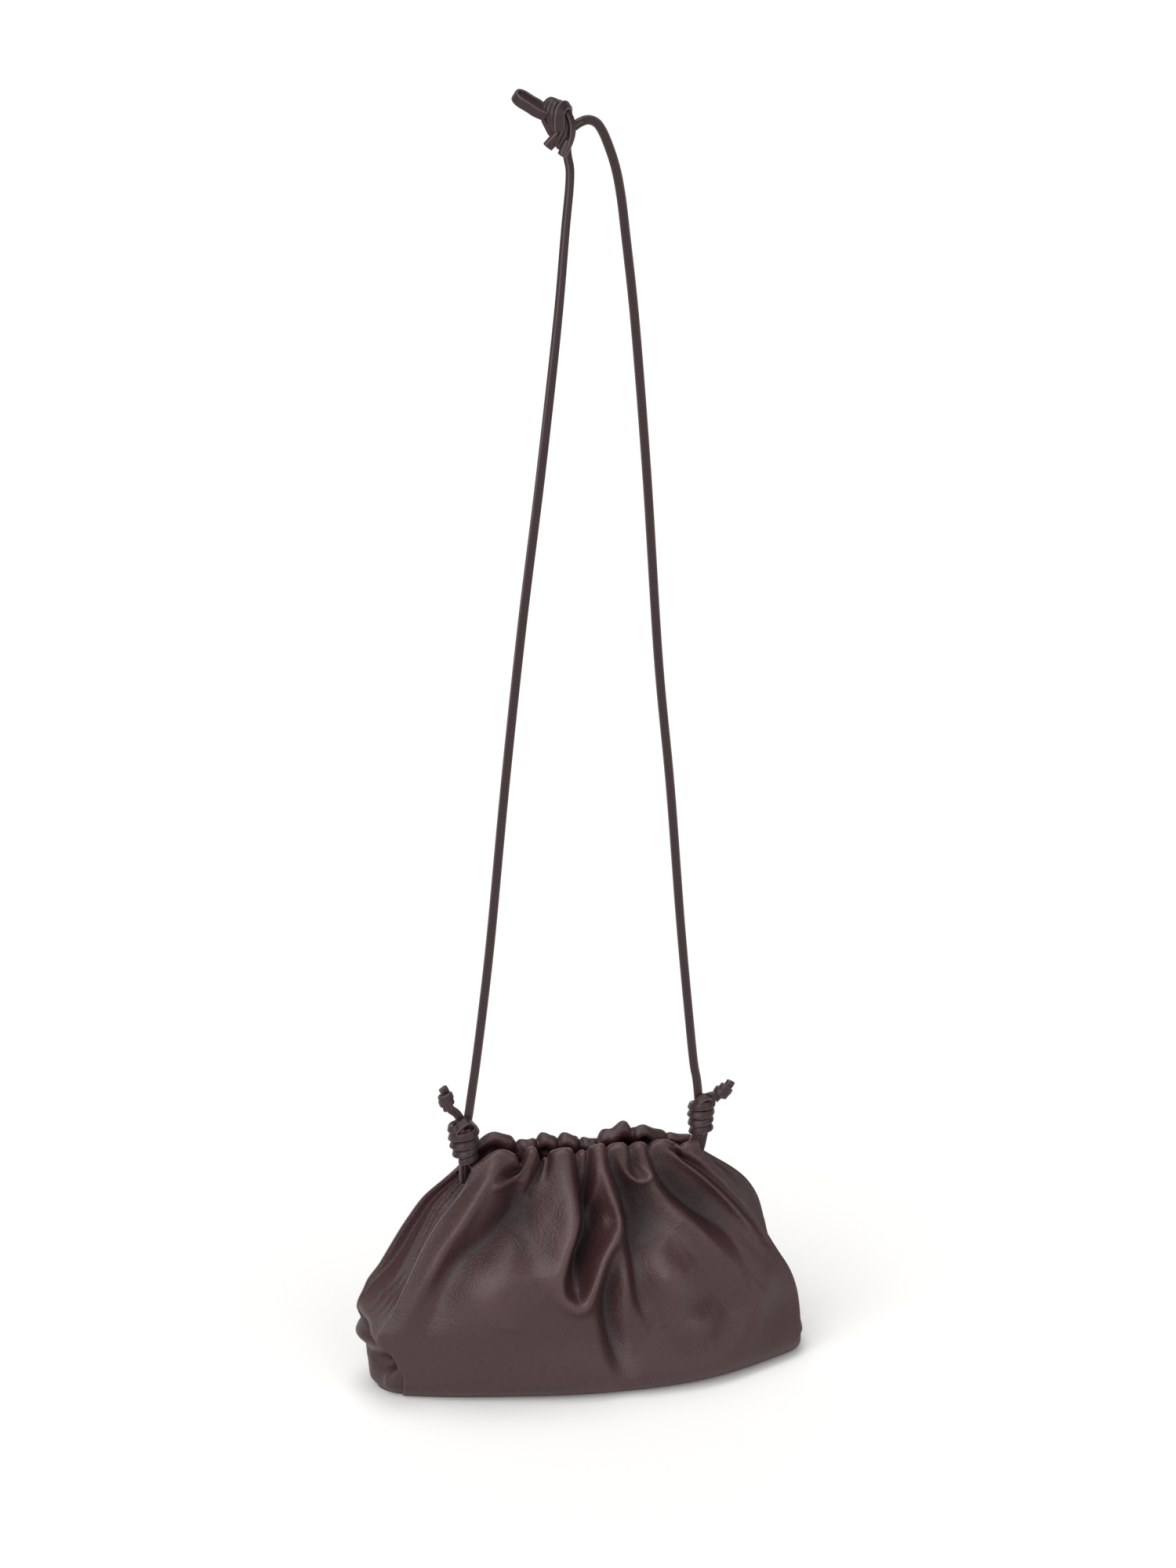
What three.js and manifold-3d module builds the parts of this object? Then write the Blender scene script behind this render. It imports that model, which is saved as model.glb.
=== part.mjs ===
// A small pouch bag of soft leather, gathered at its mouth and held up by a knotted flat cord.
// X runs along the mouth, Y from the front panel to the back panel, Z up, all in millimetres.
// The body is drawn on the ground and then hung from the loop at the top of the strap.
import * as THREE from "three";
import Module from "manifold-3d";
import { mergeVertices } from "three/addons/utils/BufferGeometryUtils.js";

const wasm = await Module();
wasm.setup();

// Driving sizes of the pouch
const pouchHeight = 124;
const rimEndDrop = 7;
const pouchHalfWidth = 113;
const pouchHalfDepth = 40;
const endHalfDepth = 21;
const leatherWall = 2;
const rimWall = 3.8;
const gussetWall = 2.6;
const baseWall = 2.4;
const seamGap = 0.3;
const foldHeight = 7;
const foldWidth = 8;
const rimRise = 4;
const gussetTuck = 13;
const leftFootBulge = 13;
const rightFootBulge = 6;
const pleatHeight = 2.2;

// Driving sizes of the strap and its knots
const cordWidth = 4.6;
const cordThickness = 3;
const wrapPitch = 4.3;
const wrapDepth = 0.9;
const barrelTopRadius = 7.7;
const barrelFootRadius = 5.6;
const barrelLength = 21.5;
const strapBarRadius = 1.5;
const strapBarInset = 11.4;
const strapBarDrop = 13;
const stopperRadius = 4.3;
const stopperLength = 12.4;
const tailWidth = 4.2;
const tailThickness = 2.6;
const loopBandWall = 1.5;
const loopLength = 15;
const loopHalfDepth = 5.2;
const knotRadius = 9;
const knotLength = 9.6;
const hookPoint = new THREE.Vector3(-31.7, 0, 660.7);

// Sections of the pouch from the ground (0) to the rim (1), as shares of the driving sizes:
// half width on the left and on the right, half depth in the middle and at the ends.
const sections = [
  { at: 0, left: 0.88, right: 0.96, middle: 0.8, ends: 0.7 },
  { at: 0.05, left: 0.885, right: 0.985, middle: 0.92, ends: 0.78 },
  { at: 0.12, left: 0.905, right: 0.995, middle: 0.98, ends: 0.85 },
  { at: 0.22, left: 0.96, right: 1, middle: 1, ends: 0.92 },
  { at: 0.3, left: 1.01, right: 0.99, middle: 1, ends: 0.95 },
  { at: 0.4, left: 0.945, right: 0.955, middle: 0.96, ends: 0.92 },
  { at: 0.5, left: 0.89, right: 0.895, middle: 0.89, ends: 0.86 },
  { at: 0.6, left: 0.835, right: 0.835, middle: 0.79, ends: 0.78 },
  { at: 0.7, left: 0.775, right: 0.76, middle: 0.67, ends: 0.68 },
  { at: 0.8, left: 0.7, right: 0.675, middle: 0.54, ends: 0.58 },
  { at: 0.88, left: 0.62, right: 0.605, middle: 0.44, ends: 0.49 },
  { at: 0.94, left: 0.565, right: 0.565, middle: 0.385, ends: 0.44 },
  { at: 1, left: 0.535, right: 0.54, middle: 0.36, ends: 0.42 },
];

// How far the foot of the front panel slides forward, across the panel, as shares of half depth
const footSlide = [
  { at: -1, slide: 0 },
  { at: -0.5, slide: 0 },
  { at: 0, slide: 0.24 },
  { at: 0.5, slide: 0.26 },
  { at: 1, slide: 0.22 },
];

// What the back panel has over the front one, from the ground to the rim, as shares of the
// driving sizes: half width on the left and on the right, half depth at the ends.
const backSpread = [
  { at: 0, left: 0.05, right: 0, ends: 0 },
  { at: 0.12, left: 0.07, right: 0, ends: 0 },
  { at: 0.22, left: 0.03, right: 0, ends: 0.05 },
  { at: 0.3, left: 0, right: 0, ends: 0.1 },
  { at: 0.42, left: 0, right: 0.02, ends: 0.15 },
  { at: 0.5, left: 0.01, right: 0.05, ends: 0.2 },
  { at: 0.7, left: 0.03, right: 0.1, ends: 0.3 },
  { at: 0.85, left: 0.03, right: 0.06, ends: 0.25 },
  { at: 1, left: 0, right: 0, ends: 0 },
];

// How the gussets bow between the panels, from the ground to their top, as shares of the tuck
// inwards and of the bulge outwards
const gussetBow = [
  { at: 0, tuck: 0, bulge: 0.85 },
  { at: 0.06, tuck: 0, bulge: 0.95 },
  { at: 0.14, tuck: 0, bulge: 0.75 },
  { at: 0.24, tuck: 0, bulge: 0.6 },
  { at: 0.3, tuck: 0.1, bulge: 0.35 },
  { at: 0.36, tuck: 0.5, bulge: 0 },
  { at: 0.5, tuck: 1, bulge: 0 },
  { at: 0.7, tuck: 0.8, bulge: 0 },
  { at: 0.82, tuck: 0.25, bulge: 0 },
  { at: 0.9, tuck: 0, bulge: 0 },
];

// Height of the gathered rim across each panel, from its left end to its right, as shares of the
// rim's rise
const frontRim = [
  { at: -1, rise: 0 },
  { at: -0.78, rise: 1.2 },
  { at: -0.6, rise: 0 },
  { at: -0.5, rise: 0.8 },
  { at: -0.4, rise: -0.2 },
  { at: -0.22, rise: 0.1 },
  { at: -0.06, rise: -0.4 },
  { at: 0.1, rise: 0.1 },
  { at: 0.28, rise: -0.1 },
  { at: 0.47, rise: -0.3 },
  { at: 0.7, rise: -0.1 },
  { at: 0.86, rise: -0.4 },
  { at: 1, rise: 0.2 },
];
const backRim = [
  { at: -1, rise: 0.2 },
  { at: -0.9, rise: 1 },
  { at: -0.75, rise: 1.9 },
  { at: -0.58, rise: 1.2 },
  { at: -0.44, rise: 0.8 },
  { at: -0.32, rise: 1.3 },
  { at: -0.2, rise: 0.9 },
  { at: -0.08, rise: 0.7 },
  { at: 0.03, rise: 0 },
  { at: 0.14, rise: -0.7 },
  { at: 0.25, rise: 0.1 },
  { at: 0.42, rise: 0.7 },
  { at: 0.55, rise: 0.4 },
  { at: 0.66, rise: 0.5 },
  { at: 0.85, rise: -0.4 },
  { at: 1, rise: -0.3 },
];

// Folds of the leather. Each has a width to its left and right, as shares of the fold width, and
// a path of places: share across the panel, share up the panel, share of the fold height there.
const frontFolds = [
  { left: 0.35, right: 0.35, path: [[-0.62, 1, -0.5], [-0.7, 0.965, -0.6], [-0.77, 0.94, -0.4]] },
  {
    left: 0.9,
    right: 0.7,
    path: [[-0.57, 1, -0.7], [-0.52, 0.87, -0.75], [-0.55, 0.76, -0.8], [-0.68, 0.62, -0.5],
      [-0.84, 0.46, -0.35], [-0.86, 0.36, -0.15]],
  },
  {
    left: 0.8,
    right: 0.8,
    path: [[-0.86, 0.92, 0.3], [-0.86, 0.8, 0.5], [-0.9, 0.66, 0.6], [-0.92, 0.46, 0.4], [-0.92, 0.36, 0.1]],
  },
  {
    left: 1.8,
    right: 1.6,
    path: [[-0.4, 0.8, 0.2], [-0.45, 0.7, 0.4], [-0.56, 0.62, 0.6], [-0.62, 0.5, 0.7], [-0.6, 0.36, 0.3]],
  },
  { left: 0.4, right: 0.4, path: [[-0.4, 1, -0.5], [-0.42, 0.93, -0.4], [-0.44, 0.85, -0.25]] },
  {
    left: 0.6,
    right: 0.6,
    path: [[-0.18, 1, 0.4], [-0.14, 0.88, 0.6], [-0.15, 0.72, 0.7], [-0.24, 0.55, 0.8], [-0.26, 0.47, 0.7],
      [-0.19, 0.41, 0.6], [-0.12, 0.385, 0.7], [-0.05, 0.48, 0.9], [0, 0.58, 0.9], [0.11, 0.7, 0.8],
      [0.14, 0.78, 0.6], [0.09, 0.93, 0.3]],
  },
  {
    left: 0.55,
    right: 0.9,
    path: [[-0.09, 1, -0.6], [-0.09, 0.84, -0.9], [-0.09, 0.74, -1.2], [-0.09, 0.66, -0.9], [-0.13, 0.5, -0.6],
      [-0.13, 0.44, -0.3]],
  },
  { left: 0.35, right: 0.35, path: [[0, 1, -0.4], [0, 0.92, -0.4], [-0.05, 0.78, -0.4]] },
  {
    left: 0.35,
    right: 1.2,
    path: [[0.175, 1, -0.6], [0.165, 0.92, -0.7], [0.19, 0.76, -1.1], [0.18, 0.6, -0.7], [0.17, 0.42, -0.45],
      [0.27, 0.25, -0.1]],
  },
  { left: 0.5, right: 0.9, path: [[0.08, 0.6, -0.3], [0.03, 0.46, -0.6], [0, 0.3, -0.5], [0.03, 0.2, -0.2]] },
  { left: 0.4, right: 0.4, path: [[0.39, 1, -0.4], [0.4, 0.91, -0.35]] },
  { left: 0.3, right: 0.3, path: [[0.27, 0.91, 0.2], [0.38, 0.85, 0.4], [0.49, 0.89, 0.3]] },
  {
    left: 0.4,
    right: 1.1,
    path: [[0.56, 1, -0.6], [0.57, 0.9, -0.7], [0.63, 0.74, -1], [0.68, 0.66, -0.8], [0.75, 0.49, -0.2]],
  },
  { left: 1.2, right: 0.6, path: [[0.5, 0.85, 0.2], [0.56, 0.74, 0.4], [0.61, 0.64, 0.5], [0.7, 0.5, 0.2]] },
  { left: 0.5, right: 0.5, path: [[0.8, 0.96, -0.4], [0.9, 0.91, -0.3], [1, 0.86, -0.2]] },
  { left: 0.6, right: 0.6, path: [[0.66, 0.94, 0.3], [0.8, 0.9, 0.4], [0.94, 0.82, 0.3]] },
  { left: 1.2, right: 1.2, path: [[0.84, 0.36, 0.2], [0.76, 0.26, 0.35], [0.5, 0.11, 0.25]] },
  { left: 2, right: 2, path: [[0.36, 0.32, 0.2], [0.42, 0.24, 0.35], [0.42, 0.17, 0.2]] },
];
const backFolds = [
  { left: 0.6, right: 0.6, path: [[-0.43, 1, -0.6], [-0.44, 0.85, -0.6], [-0.5, 0.66, -0.3]] },
  { left: 0.6, right: 0.9, path: [[-0.23, 1, -0.7], [-0.22, 0.8, -0.9], [-0.28, 0.6, -0.6], [-0.3, 0.42, -0.2]] },
  { left: 0.5, right: 0.5, path: [[-0.04, 1, -0.6], [-0.05, 0.86, -0.6], [-0.03, 0.72, -0.3]] },
  { left: 0.9, right: 0.5, path: [[0.14, 1, -0.7], [0.13, 0.8, -1], [0.16, 0.6, -0.8], [0.12, 0.38, -0.3]] },
  { left: 0.5, right: 0.6, path: [[0.31, 1, -0.6], [0.33, 0.84, -0.6], [0.38, 0.7, -0.3]] },
  { left: 0.4, right: 0.4, path: [[0.52, 1, -0.3], [0.53, 0.92, -0.2]] },
  { left: 0.8, right: 0.6, path: [[0.62, 1, -0.6], [0.63, 0.84, -0.8], [0.72, 0.62, -0.5], [0.8, 0.44, -0.2]] },
  { left: 0.7, right: 0.9, path: [[-0.64, 0.98, -0.5], [-0.66, 0.84, -0.6], [-0.76, 0.6, -0.4], [-0.84, 0.42, -0.1]] },
  { left: 1.1, right: 1.1, path: [[-0.55, 0.8, 0.3], [-0.62, 0.6, 0.6], [-0.66, 0.42, 0.3]] },
  { left: 0.9, right: 0.9, path: [[-0.12, 0.85, 0.4], [-0.13, 0.6, 0.6], [-0.08, 0.4, 0.3]] },
  { left: 1, right: 1, path: [[0.26, 0.82, 0.4], [0.3, 0.6, 0.6], [0.36, 0.4, 0.3]] },
  { left: 1.2, right: 1.2, path: [[0.8, 0.8, 0.3], [0.88, 0.62, 0.5], [0.9, 0.44, 0.2]] },
];

// Places of each strand from its barrel knot to the knot at the top, chosen by eye
const strandRoutes = {
  left: [[-60.2, 0, 143.9], [-58.5, 0, 155], [-56, 0, 171.8], [-51.6, 0, 205], [-47.6, 0, 239], [-39.4, 0, 321],
    [-30.4, 0, 401], [-20.3, 0, 479], [-11.4, 0, 556], [-7.7, 0, 597.3], [-5.7, 0, 617.8], [-5.6, 0, 625.2],
    [-6.4, 0, 632]],
  right: [[62.9, 0, 141.6], [61.8, 0, 152], [60.5, 0, 158.7], [57.2, 0, 189], [52.6, 0, 237], [46.4, 0, 313],
    [40.2, 0, 375], [33.2, 0, 476], [26.6, 0, 554], [22.2, 0, 592.1], [19.6, 0, 612.3], [17, 0, 625],
    [13.1, 0, 637.5], [9.9, 0, 644.8], [7.3, 0, 648.1], [3.4, 0, 649.6], [-0.6, 0, 648.2], [-2.6, 0, 646.9]],
};

// Each end of the strap: where its barrel knot stands over the strap bar and how far it leans,
// then, from the middle of the barrel's top, the strand's start, the tail's start, the foot of
// the stopper knot and the way that knot points.
const strapEnds = {
  left: {
    barrel: [-3.8, 0, 17.6],
    lean: -0.1,
    strand: [3.35, 0, 0.9],
    tail: [[-1, 0.5, 1.6], [-2.8, 0.6, 4]],
    stopper: [-5.9, 0.3, 6.6],
    stopperAim: [-0.35, 0, 0.94],
    strandTop: [6, 0, -17.6],
  },
  right: {
    barrel: [7.9, 0, 15.4],
    lean: 0.02,
    strand: [-1.9, 0, 0.7],
    tail: [[2.8, -0.5, 1.6], [4.8, -0.6, 2]],
    stopper: [7.7, -0.6, 2],
    stopperAim: [0.86, 0, 0.51],
    strandTop: [9.8, 0, -2.7],
  },
};
const strandSteps = { left: 30, right: 50 };

// The top knot: its side that the hanging loop meets, the axis of its turns, and the two cut ends
// and the strand that leave it, from its centre
const knotSide = new THREE.Vector3(-0.85, -0.33, 0.41).normalize();
const knotAxis = new THREE.Vector3(0.83, -0.5, 0.2).normalize();
const knotTurn = -0.28;
const knotEnds = [
  { route: [[2, -2, 3], [5.2, -2, -3], [6, -1, -9], [5.6, 0, -14]], widen: 1.2 },
  { route: [[0, -3, -5], [-2.6, -4.2, -9.5], [-5, -4.4, -13.4]], widen: 1 },
  { route: [[3, -3.6, -7], [1.8, -4.6, -12], [1.4, -4.6, -17.5]], widen: 1.2 },
];
const loopRoll = 0.42;
const loopDip = 0.55;
const loopPinch = 0.55;

const panelColumns = { front: 36, back: 30 };
const gussetColumns = 10;
const panelRows = [0, 0.03, 0.08, 0.15, 0.23, 0.31, 0.38, 0.45, 0.52, 0.59, 0.66, 0.73, 0.8, 0.86, 0.915, 0.96, 1];
const gussetRows = [0, 0.05, 0.1, 0.16, 0.22, 0.28, 0.34, 0.42, 0.5, 0.58, 0.66, 0.74, 0.82, 0.9];

const leatherColour = 0x4a3437;
const cordColour = 0x432f33;
const metalColour = 0x8a8072;

const endHeight = pouchHeight - rimEndDrop;
const strapBarZ = endHeight - strapBarDrop;

// Smooth value of one column of a table at a place along it
function columnAt(table, column, place) {
  const last = table.length - 1;
  const held = Math.min(Math.max(place, table[0].at), table[last].at);
  let i = 0;
  while (i < last - 1 && held > table[i + 1].at) i += 1;
  const slope = (k) => {
    const before = table[Math.max(k - 1, 0)];
    const after = table[Math.min(k + 1, last)];
    return (after[column] - before[column]) / (after.at - before.at);
  };
  const step = table[i + 1].at - table[i].at;
  const t = (held - table[i].at) / step;
  const t2 = t * t;
  const t3 = t2 * t;
  const value = (2 * t3 - 3 * t2 + 1) * table[i][column] + (3 * t2 - 2 * t3) * table[i + 1][column];
  return value + (t3 - 2 * t2 + t) * step * slope(i) + (t3 - t2) * step * slope(i + 1);
}

// Eases from 0 at a low value to 1 at a high one
const smooth = (low, high, value) => {
  const t = Math.min(Math.max((value - low) / (high - low), 0), 1);
  return t * t * (3 - 2 * t);
};

const evenSteps = (count, from = 0, to = 1) =>
  Array.from({ length: count + 1 }, (_, i) => from + ((to - from) * i) / count);

const toPoints = (list) => list.map((place) => new THREE.Vector3(...place));

// Half width of the pouch at a height, on the side that across points to
function halfWidthAt(across, up, side) {
  const column = across < 0 ? "left" : "right";
  const spread = side > 0 ? columnAt(backSpread, column, up) : 0;
  return pouchHalfWidth * (columnAt(sections, column, up) + spread);
}

// Height of the rim before its gathers lift it
const plainRimAt = (across) => endHeight + rimEndDrop * (1 - Math.abs(across) ** 4);

// A place on the smooth panel before it is folded: side -1 is the front panel, 1 the back one
function smoothPlace(across, up, side) {
  const x = across * halfWidthAt(across, up, side);
  const middle = pouchHalfDepth * columnAt(sections, "middle", up);
  const spread = side > 0 ? columnAt(backSpread, "ends", up) : 0;
  const end = endHalfDepth * (columnAt(sections, "ends", up) + spread);
  const nearGround = side < 0 ? 1 - smooth(0, 0.3, up) : 0;
  const slide = pouchHalfDepth * columnAt(footSlide, "slide", across) * nearGround;
  const y = side * (end + (middle - end) * (1 - Math.abs(across) ** 2.2) + slide);
  const lift = rimRise * columnAt(side < 0 ? frontRim : backRim, "rise", across) * smooth(0.75, 1, up);
  return new THREE.Vector3(x, y, up * plainRimAt(across) + lift);
}

// Height of one fold at a place, from the nearest point of its path
function foldAt(fold, across, up, side) {
  const flat = (a, u) => [a * halfWidthAt(a, u, side), u * pouchHeight];
  const [px, py] = flat(across, up);
  let best = { distance: Infinity, rise: 0, turn: 0 };
  for (let i = 0; i + 1 < fold.path.length; i += 1) {
    const [ax, ay] = flat(fold.path[i][0], fold.path[i][1]);
    const [bx, by] = flat(fold.path[i + 1][0], fold.path[i + 1][1]);
    const dx = bx - ax;
    const dy = by - ay;
    const t = Math.min(Math.max(((px - ax) * dx + (py - ay) * dy) / (dx * dx + dy * dy), 0), 1);
    const distance = Math.hypot(px - ax - t * dx, py - ay - t * dy);
    if (distance < best.distance) {
      const rise = fold.path[i][2] + t * (fold.path[i + 1][2] - fold.path[i][2]);
      best = { distance, rise, turn: dx * (py - ay) - dy * (px - ax) };
    }
  }
  const width = foldWidth * (best.turn < 0 ? fold.left : fold.right);
  return best.rise * foldHeight * Math.exp(-((best.distance / width) ** 2));
}

// Direction out of the smooth panel, level near the ground and straight back or forward at its ends
function outward(across, up, side) {
  const step = 0.01;
  const a = Math.min(Math.max(across, -0.98), 0.98);
  const u = Math.min(Math.max(up, 0.02), 0.72);
  const along = smoothPlace(a + step, u, side).sub(smoothPlace(a - step, u, side));
  const climb = smoothPlace(a, u + step, side).sub(smoothPlace(a, u - step, side));
  const normal = along.cross(climb).multiplyScalar(-side).normalize();
  normal.z *= smooth(0.04, 0.3, up) * 0.8;
  const endShare = Math.abs(across) ** 6;
  return normal.lerp(new THREE.Vector3(0, side, 0), endShare).normalize();
}

// A place on the folded panel, at a depth under its outer skin; the folds die out at its seams
function panelPlace(across, up, side, depth) {
  const folds = side < 0 ? frontFolds : backFolds;
  const atSeam = smooth(0, 0.08, up) * (1 - 0.8 * Math.abs(across) ** 8);
  const height = atSeam * folds.reduce((sum, fold) => sum + foldAt(fold, across, up, side), 0);
  const place = smoothPlace(across, up, side);
  place.addScaledVector(outward(across, up, side), height - depth);
  place.z += 0.4 * Math.min(height, 0) * smooth(0.85, 1, up);
  return place;
}

// Turns the faces of a geometry that was built facing inwards
function facingOut(geometry) {
  const p = geometry.attributes.position;
  const index = geometry.index.array;
  const corner = (i) => new THREE.Vector3().fromBufferAttribute(p, index[i]);
  let volume = 0;
  for (let i = 0; i < index.length; i += 3) volume += corner(i).dot(corner(i + 1).cross(corner(i + 2)));
  if (volume < 0) {
    for (let i = 0; i < index.length; i += 3) [index[i + 1], index[i + 2]] = [index[i + 2], index[i + 1]];
  }
  return geometry;
}

// Closed solid between an outer and an inner skin, each a function of shares across and up
function shellGeometry(outer, inner, across, up) {
  const columns = across.length;
  const places = [outer, inner].flatMap((skin) => up.flatMap((u) => across.flatMap((a) => skin(a, u).toArray())));
  const at = (skin, row, column) => skin * columns * up.length + row * columns + column;
  const faces = [];
  const quad = (a, b, c, d) => faces.push(a, b, c, a, c, d);
  const last = columns - 1;
  for (let r = 0; r + 1 < up.length; r += 1) {
    for (let c = 0; c < last; c += 1) {
      quad(at(0, r, c), at(0, r, c + 1), at(0, r + 1, c + 1), at(0, r + 1, c));
      quad(at(1, r, c), at(1, r + 1, c), at(1, r + 1, c + 1), at(1, r, c + 1));
    }
    quad(at(0, r, 0), at(0, r + 1, 0), at(1, r + 1, 0), at(1, r, 0));
    quad(at(0, r, last), at(1, r, last), at(1, r + 1, last), at(0, r + 1, last));
  }
  const top = up.length - 1;
  for (let c = 0; c < last; c += 1) {
    quad(at(0, 0, c), at(1, 0, c), at(1, 0, c + 1), at(0, 0, c + 1));
    quad(at(0, top, c), at(0, top, c + 1), at(1, top, c + 1), at(1, top, c));
  }
  const geometry = new THREE.BufferGeometry();
  geometry.setAttribute("position", new THREE.Float32BufferAttribute(places, 3));
  geometry.setIndex(faces);
  return facingOut(geometry);
}

// Front or back panel: a folded sheet of leather whose rim is rolled thicker
function panelGeometry(side) {
  const wallAt = (across, up) =>
    leatherWall + (rimWall - leatherWall) * smooth(0.88, 0.95, up) * (1 - Math.abs(across) ** 6);
  const outer = (across, up) => panelPlace(across, up, side, 0);
  const inner = (across, up) => panelPlace(across, up, side, wallAt(across, up));
  const columns = side < 0 ? panelColumns.front : panelColumns.back;
  return shellGeometry(outer, inner, evenSteps(columns, -1, 1), panelRows);
}

// A place on the gusset at one end: share runs from the front panel to the back one
function gussetPlace(end, share, up, depth) {
  const front = smoothPlace(end, up, -1);
  const back = smoothPlace(end, up, 1);
  const from = front.y + leatherWall + seamGap;
  const to = back.y - leatherWall - seamGap;
  const bow = Math.sin(Math.PI * share);
  const bulge = (end < 0 ? leftFootBulge : rightFootBulge) * columnAt(gussetBow, "bulge", up);
  const tuck = gussetTuck * columnAt(gussetBow, "tuck", up) - bulge;
  const pleats = pleatHeight * Math.sin(share * Math.PI * 6) * bow * smooth(0.3, 0.6, up);
  const x = front.x + (back.x - front.x) * share - end * (tuck * bow ** 0.7 + pleats + depth);
  return new THREE.Vector3(x, from + (to - from) * share, front.z + (back.z - front.z) * share);
}

// Gusset: the end wall between the two panels, tucked inwards and pleated towards its top
function gussetGeometry(end) {
  const outer = (share, up) => gussetPlace(end, share, up, 0);
  const inner = (share, up) => gussetPlace(end, share, up, gussetWall);
  return shellGeometry(outer, inner, evenSteps(gussetColumns), gussetRows);
}

// Base: a flat plate inside the foot of the panels and gussets
function baseGeometry() {
  const flat = (place) => new THREE.Vector2(place.x, place.y);
  const room = leatherWall + seamGap;
  const endRoom = gussetWall + 2 * seamGap;
  const acrossFront = evenSteps(16, -0.95, 0.95);
  const acrossEnd = evenSteps(gussetColumns - 6, 3 / gussetColumns, 1 - 3 / gussetColumns);
  const outline = [
    ...acrossFront.map((a) => flat(panelPlace(a, 0, -1, room))),
    ...acrossEnd.map((share) => flat(gussetPlace(1, share, 0, endRoom))),
    ...acrossFront.toReversed().map((a) => flat(panelPlace(a, 0, 1, room))),
    ...acrossEnd.toReversed().map((share) => flat(gussetPlace(-1, share, 0, endRoom))),
  ];
  return new THREE.ExtrudeGeometry(new THREE.Shape(outline), { depth: baseWall, bevelEnabled: false });
}

// Flat cord along a route in the plane of the mouth: depth is its size from front to back
function cordGeometry(route, steps, breadth, depth) {
  const b = breadth / 2;
  const d = depth / 2;
  const bevel = 0.55 * Math.min(b, d);
  const outline = [[d, b - bevel], [d - bevel, b], [bevel - d, b], [-d, b - bevel], [-d, bevel - b], [bevel - d, -b],
    [d - bevel, -b], [d, bevel - b]];
  const section = new THREE.Shape(outline.map(([x, y]) => new THREE.Vector2(x, y)));
  const extrudePath = new THREE.CatmullRomCurve3(route);
  return new THREE.ExtrudeGeometry(section, { steps, extrudePath, bevelEnabled: false });
}

// Lathe whose surface is ribbed by a cord wound round it in a helix
function woundGeometry(profile, pitch, sides) {
  const geometry = new THREE.LatheGeometry(profile.map(([r, y]) => new THREE.Vector2(r, y)), sides);
  const p = geometry.attributes.position;
  for (let i = 0; i < p.count; i += 1) {
    const radius = Math.hypot(p.getX(i), p.getZ(i));
    if (radius < 1e-6) continue;
    const turn = Math.atan2(p.getZ(i), p.getX(i)) / (2 * Math.PI);
    const phase = (p.getY(i) / pitch - turn) * Math.PI;
    const scale = 1 - (wrapDepth / radius) * (1 - Math.abs(Math.sin(phase)));
    p.setXYZ(i, p.getX(i) * scale, p.getY(i), p.getZ(i) * scale);
  }
  return geometry;
}

// Barrel knot: a cord wound into a barrel that widens upwards, with rounded ends
function barrelGeometry() {
  const profile = [[0, 0]];
  for (const share of evenSteps(24)) {
    const fromEnd = Math.min(share, 1 - share) * barrelLength;
    const round = 0.72 + 0.28 * smooth(0, 1.6, fromEnd);
    const radius = barrelFootRadius + (barrelTopRadius - barrelFootRadius) * smooth(0, 0.75, share);
    profile.push([radius * round, share * barrelLength]);
  }
  profile.push([0, barrelLength]);
  return woundGeometry(profile, wrapPitch, 16).rotateX(Math.PI / 2);
}

// Rounded knot that is as long as it is told, wound in two or more turns
function woundBall(radius, length, roundness, turns, sides) {
  const profile = evenSteps(12, -1, 1).map((t) => {
    return [radius * Math.sqrt(Math.max(1 - t ** roundness, 0)), (t * length) / 2];
  });
  return woundGeometry(profile, length / turns, sides);
}

function solidOf(geometry) {
  const bare = new THREE.BufferGeometry();
  bare.setAttribute("position", geometry.attributes.position);
  bare.setIndex(geometry.index);
  const merged = mergeVertices(bare, 1e-4);
  const vertProperties = new Float32Array(merged.attributes.position.array);
  const triVerts = new Uint32Array(merged.index.array);
  return new wasm.Manifold(new wasm.Mesh({ numProp: 3, vertProperties, triVerts }));
}

function geometryOf(solid) {
  const mesh = solid.getMesh();
  const geometry = new THREE.BufferGeometry();
  geometry.setAttribute("position", new THREE.BufferAttribute(new Float32Array(mesh.vertProperties), 3));
  geometry.setIndex(new THREE.BufferAttribute(mesh.triVerts, 1));
  return geometry;
}

// The knot that joins both strands: wound turns, the strand that leaves it and two cut ends
function topKnotGeometry() {
  const wound = woundBall(knotRadius, knotLength, 6, 3, 18);
  wound.applyQuaternion(new THREE.Quaternion().setFromUnitVectors(new THREE.Vector3(0, 1, 0), knotAxis));
  let knot = solidOf(wound);
  for (const { route, widen } of knotEnds) {
    knot = knot.add(solidOf(cordGeometry(toPoints(route), 6, cordWidth * widen, cordThickness * 1.2)));
  }
  return geometryOf(knot);
}

const loopArm = loopLength - loopHalfDepth;
const loopHole = loopHalfDepth - loopBandWall;

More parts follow.
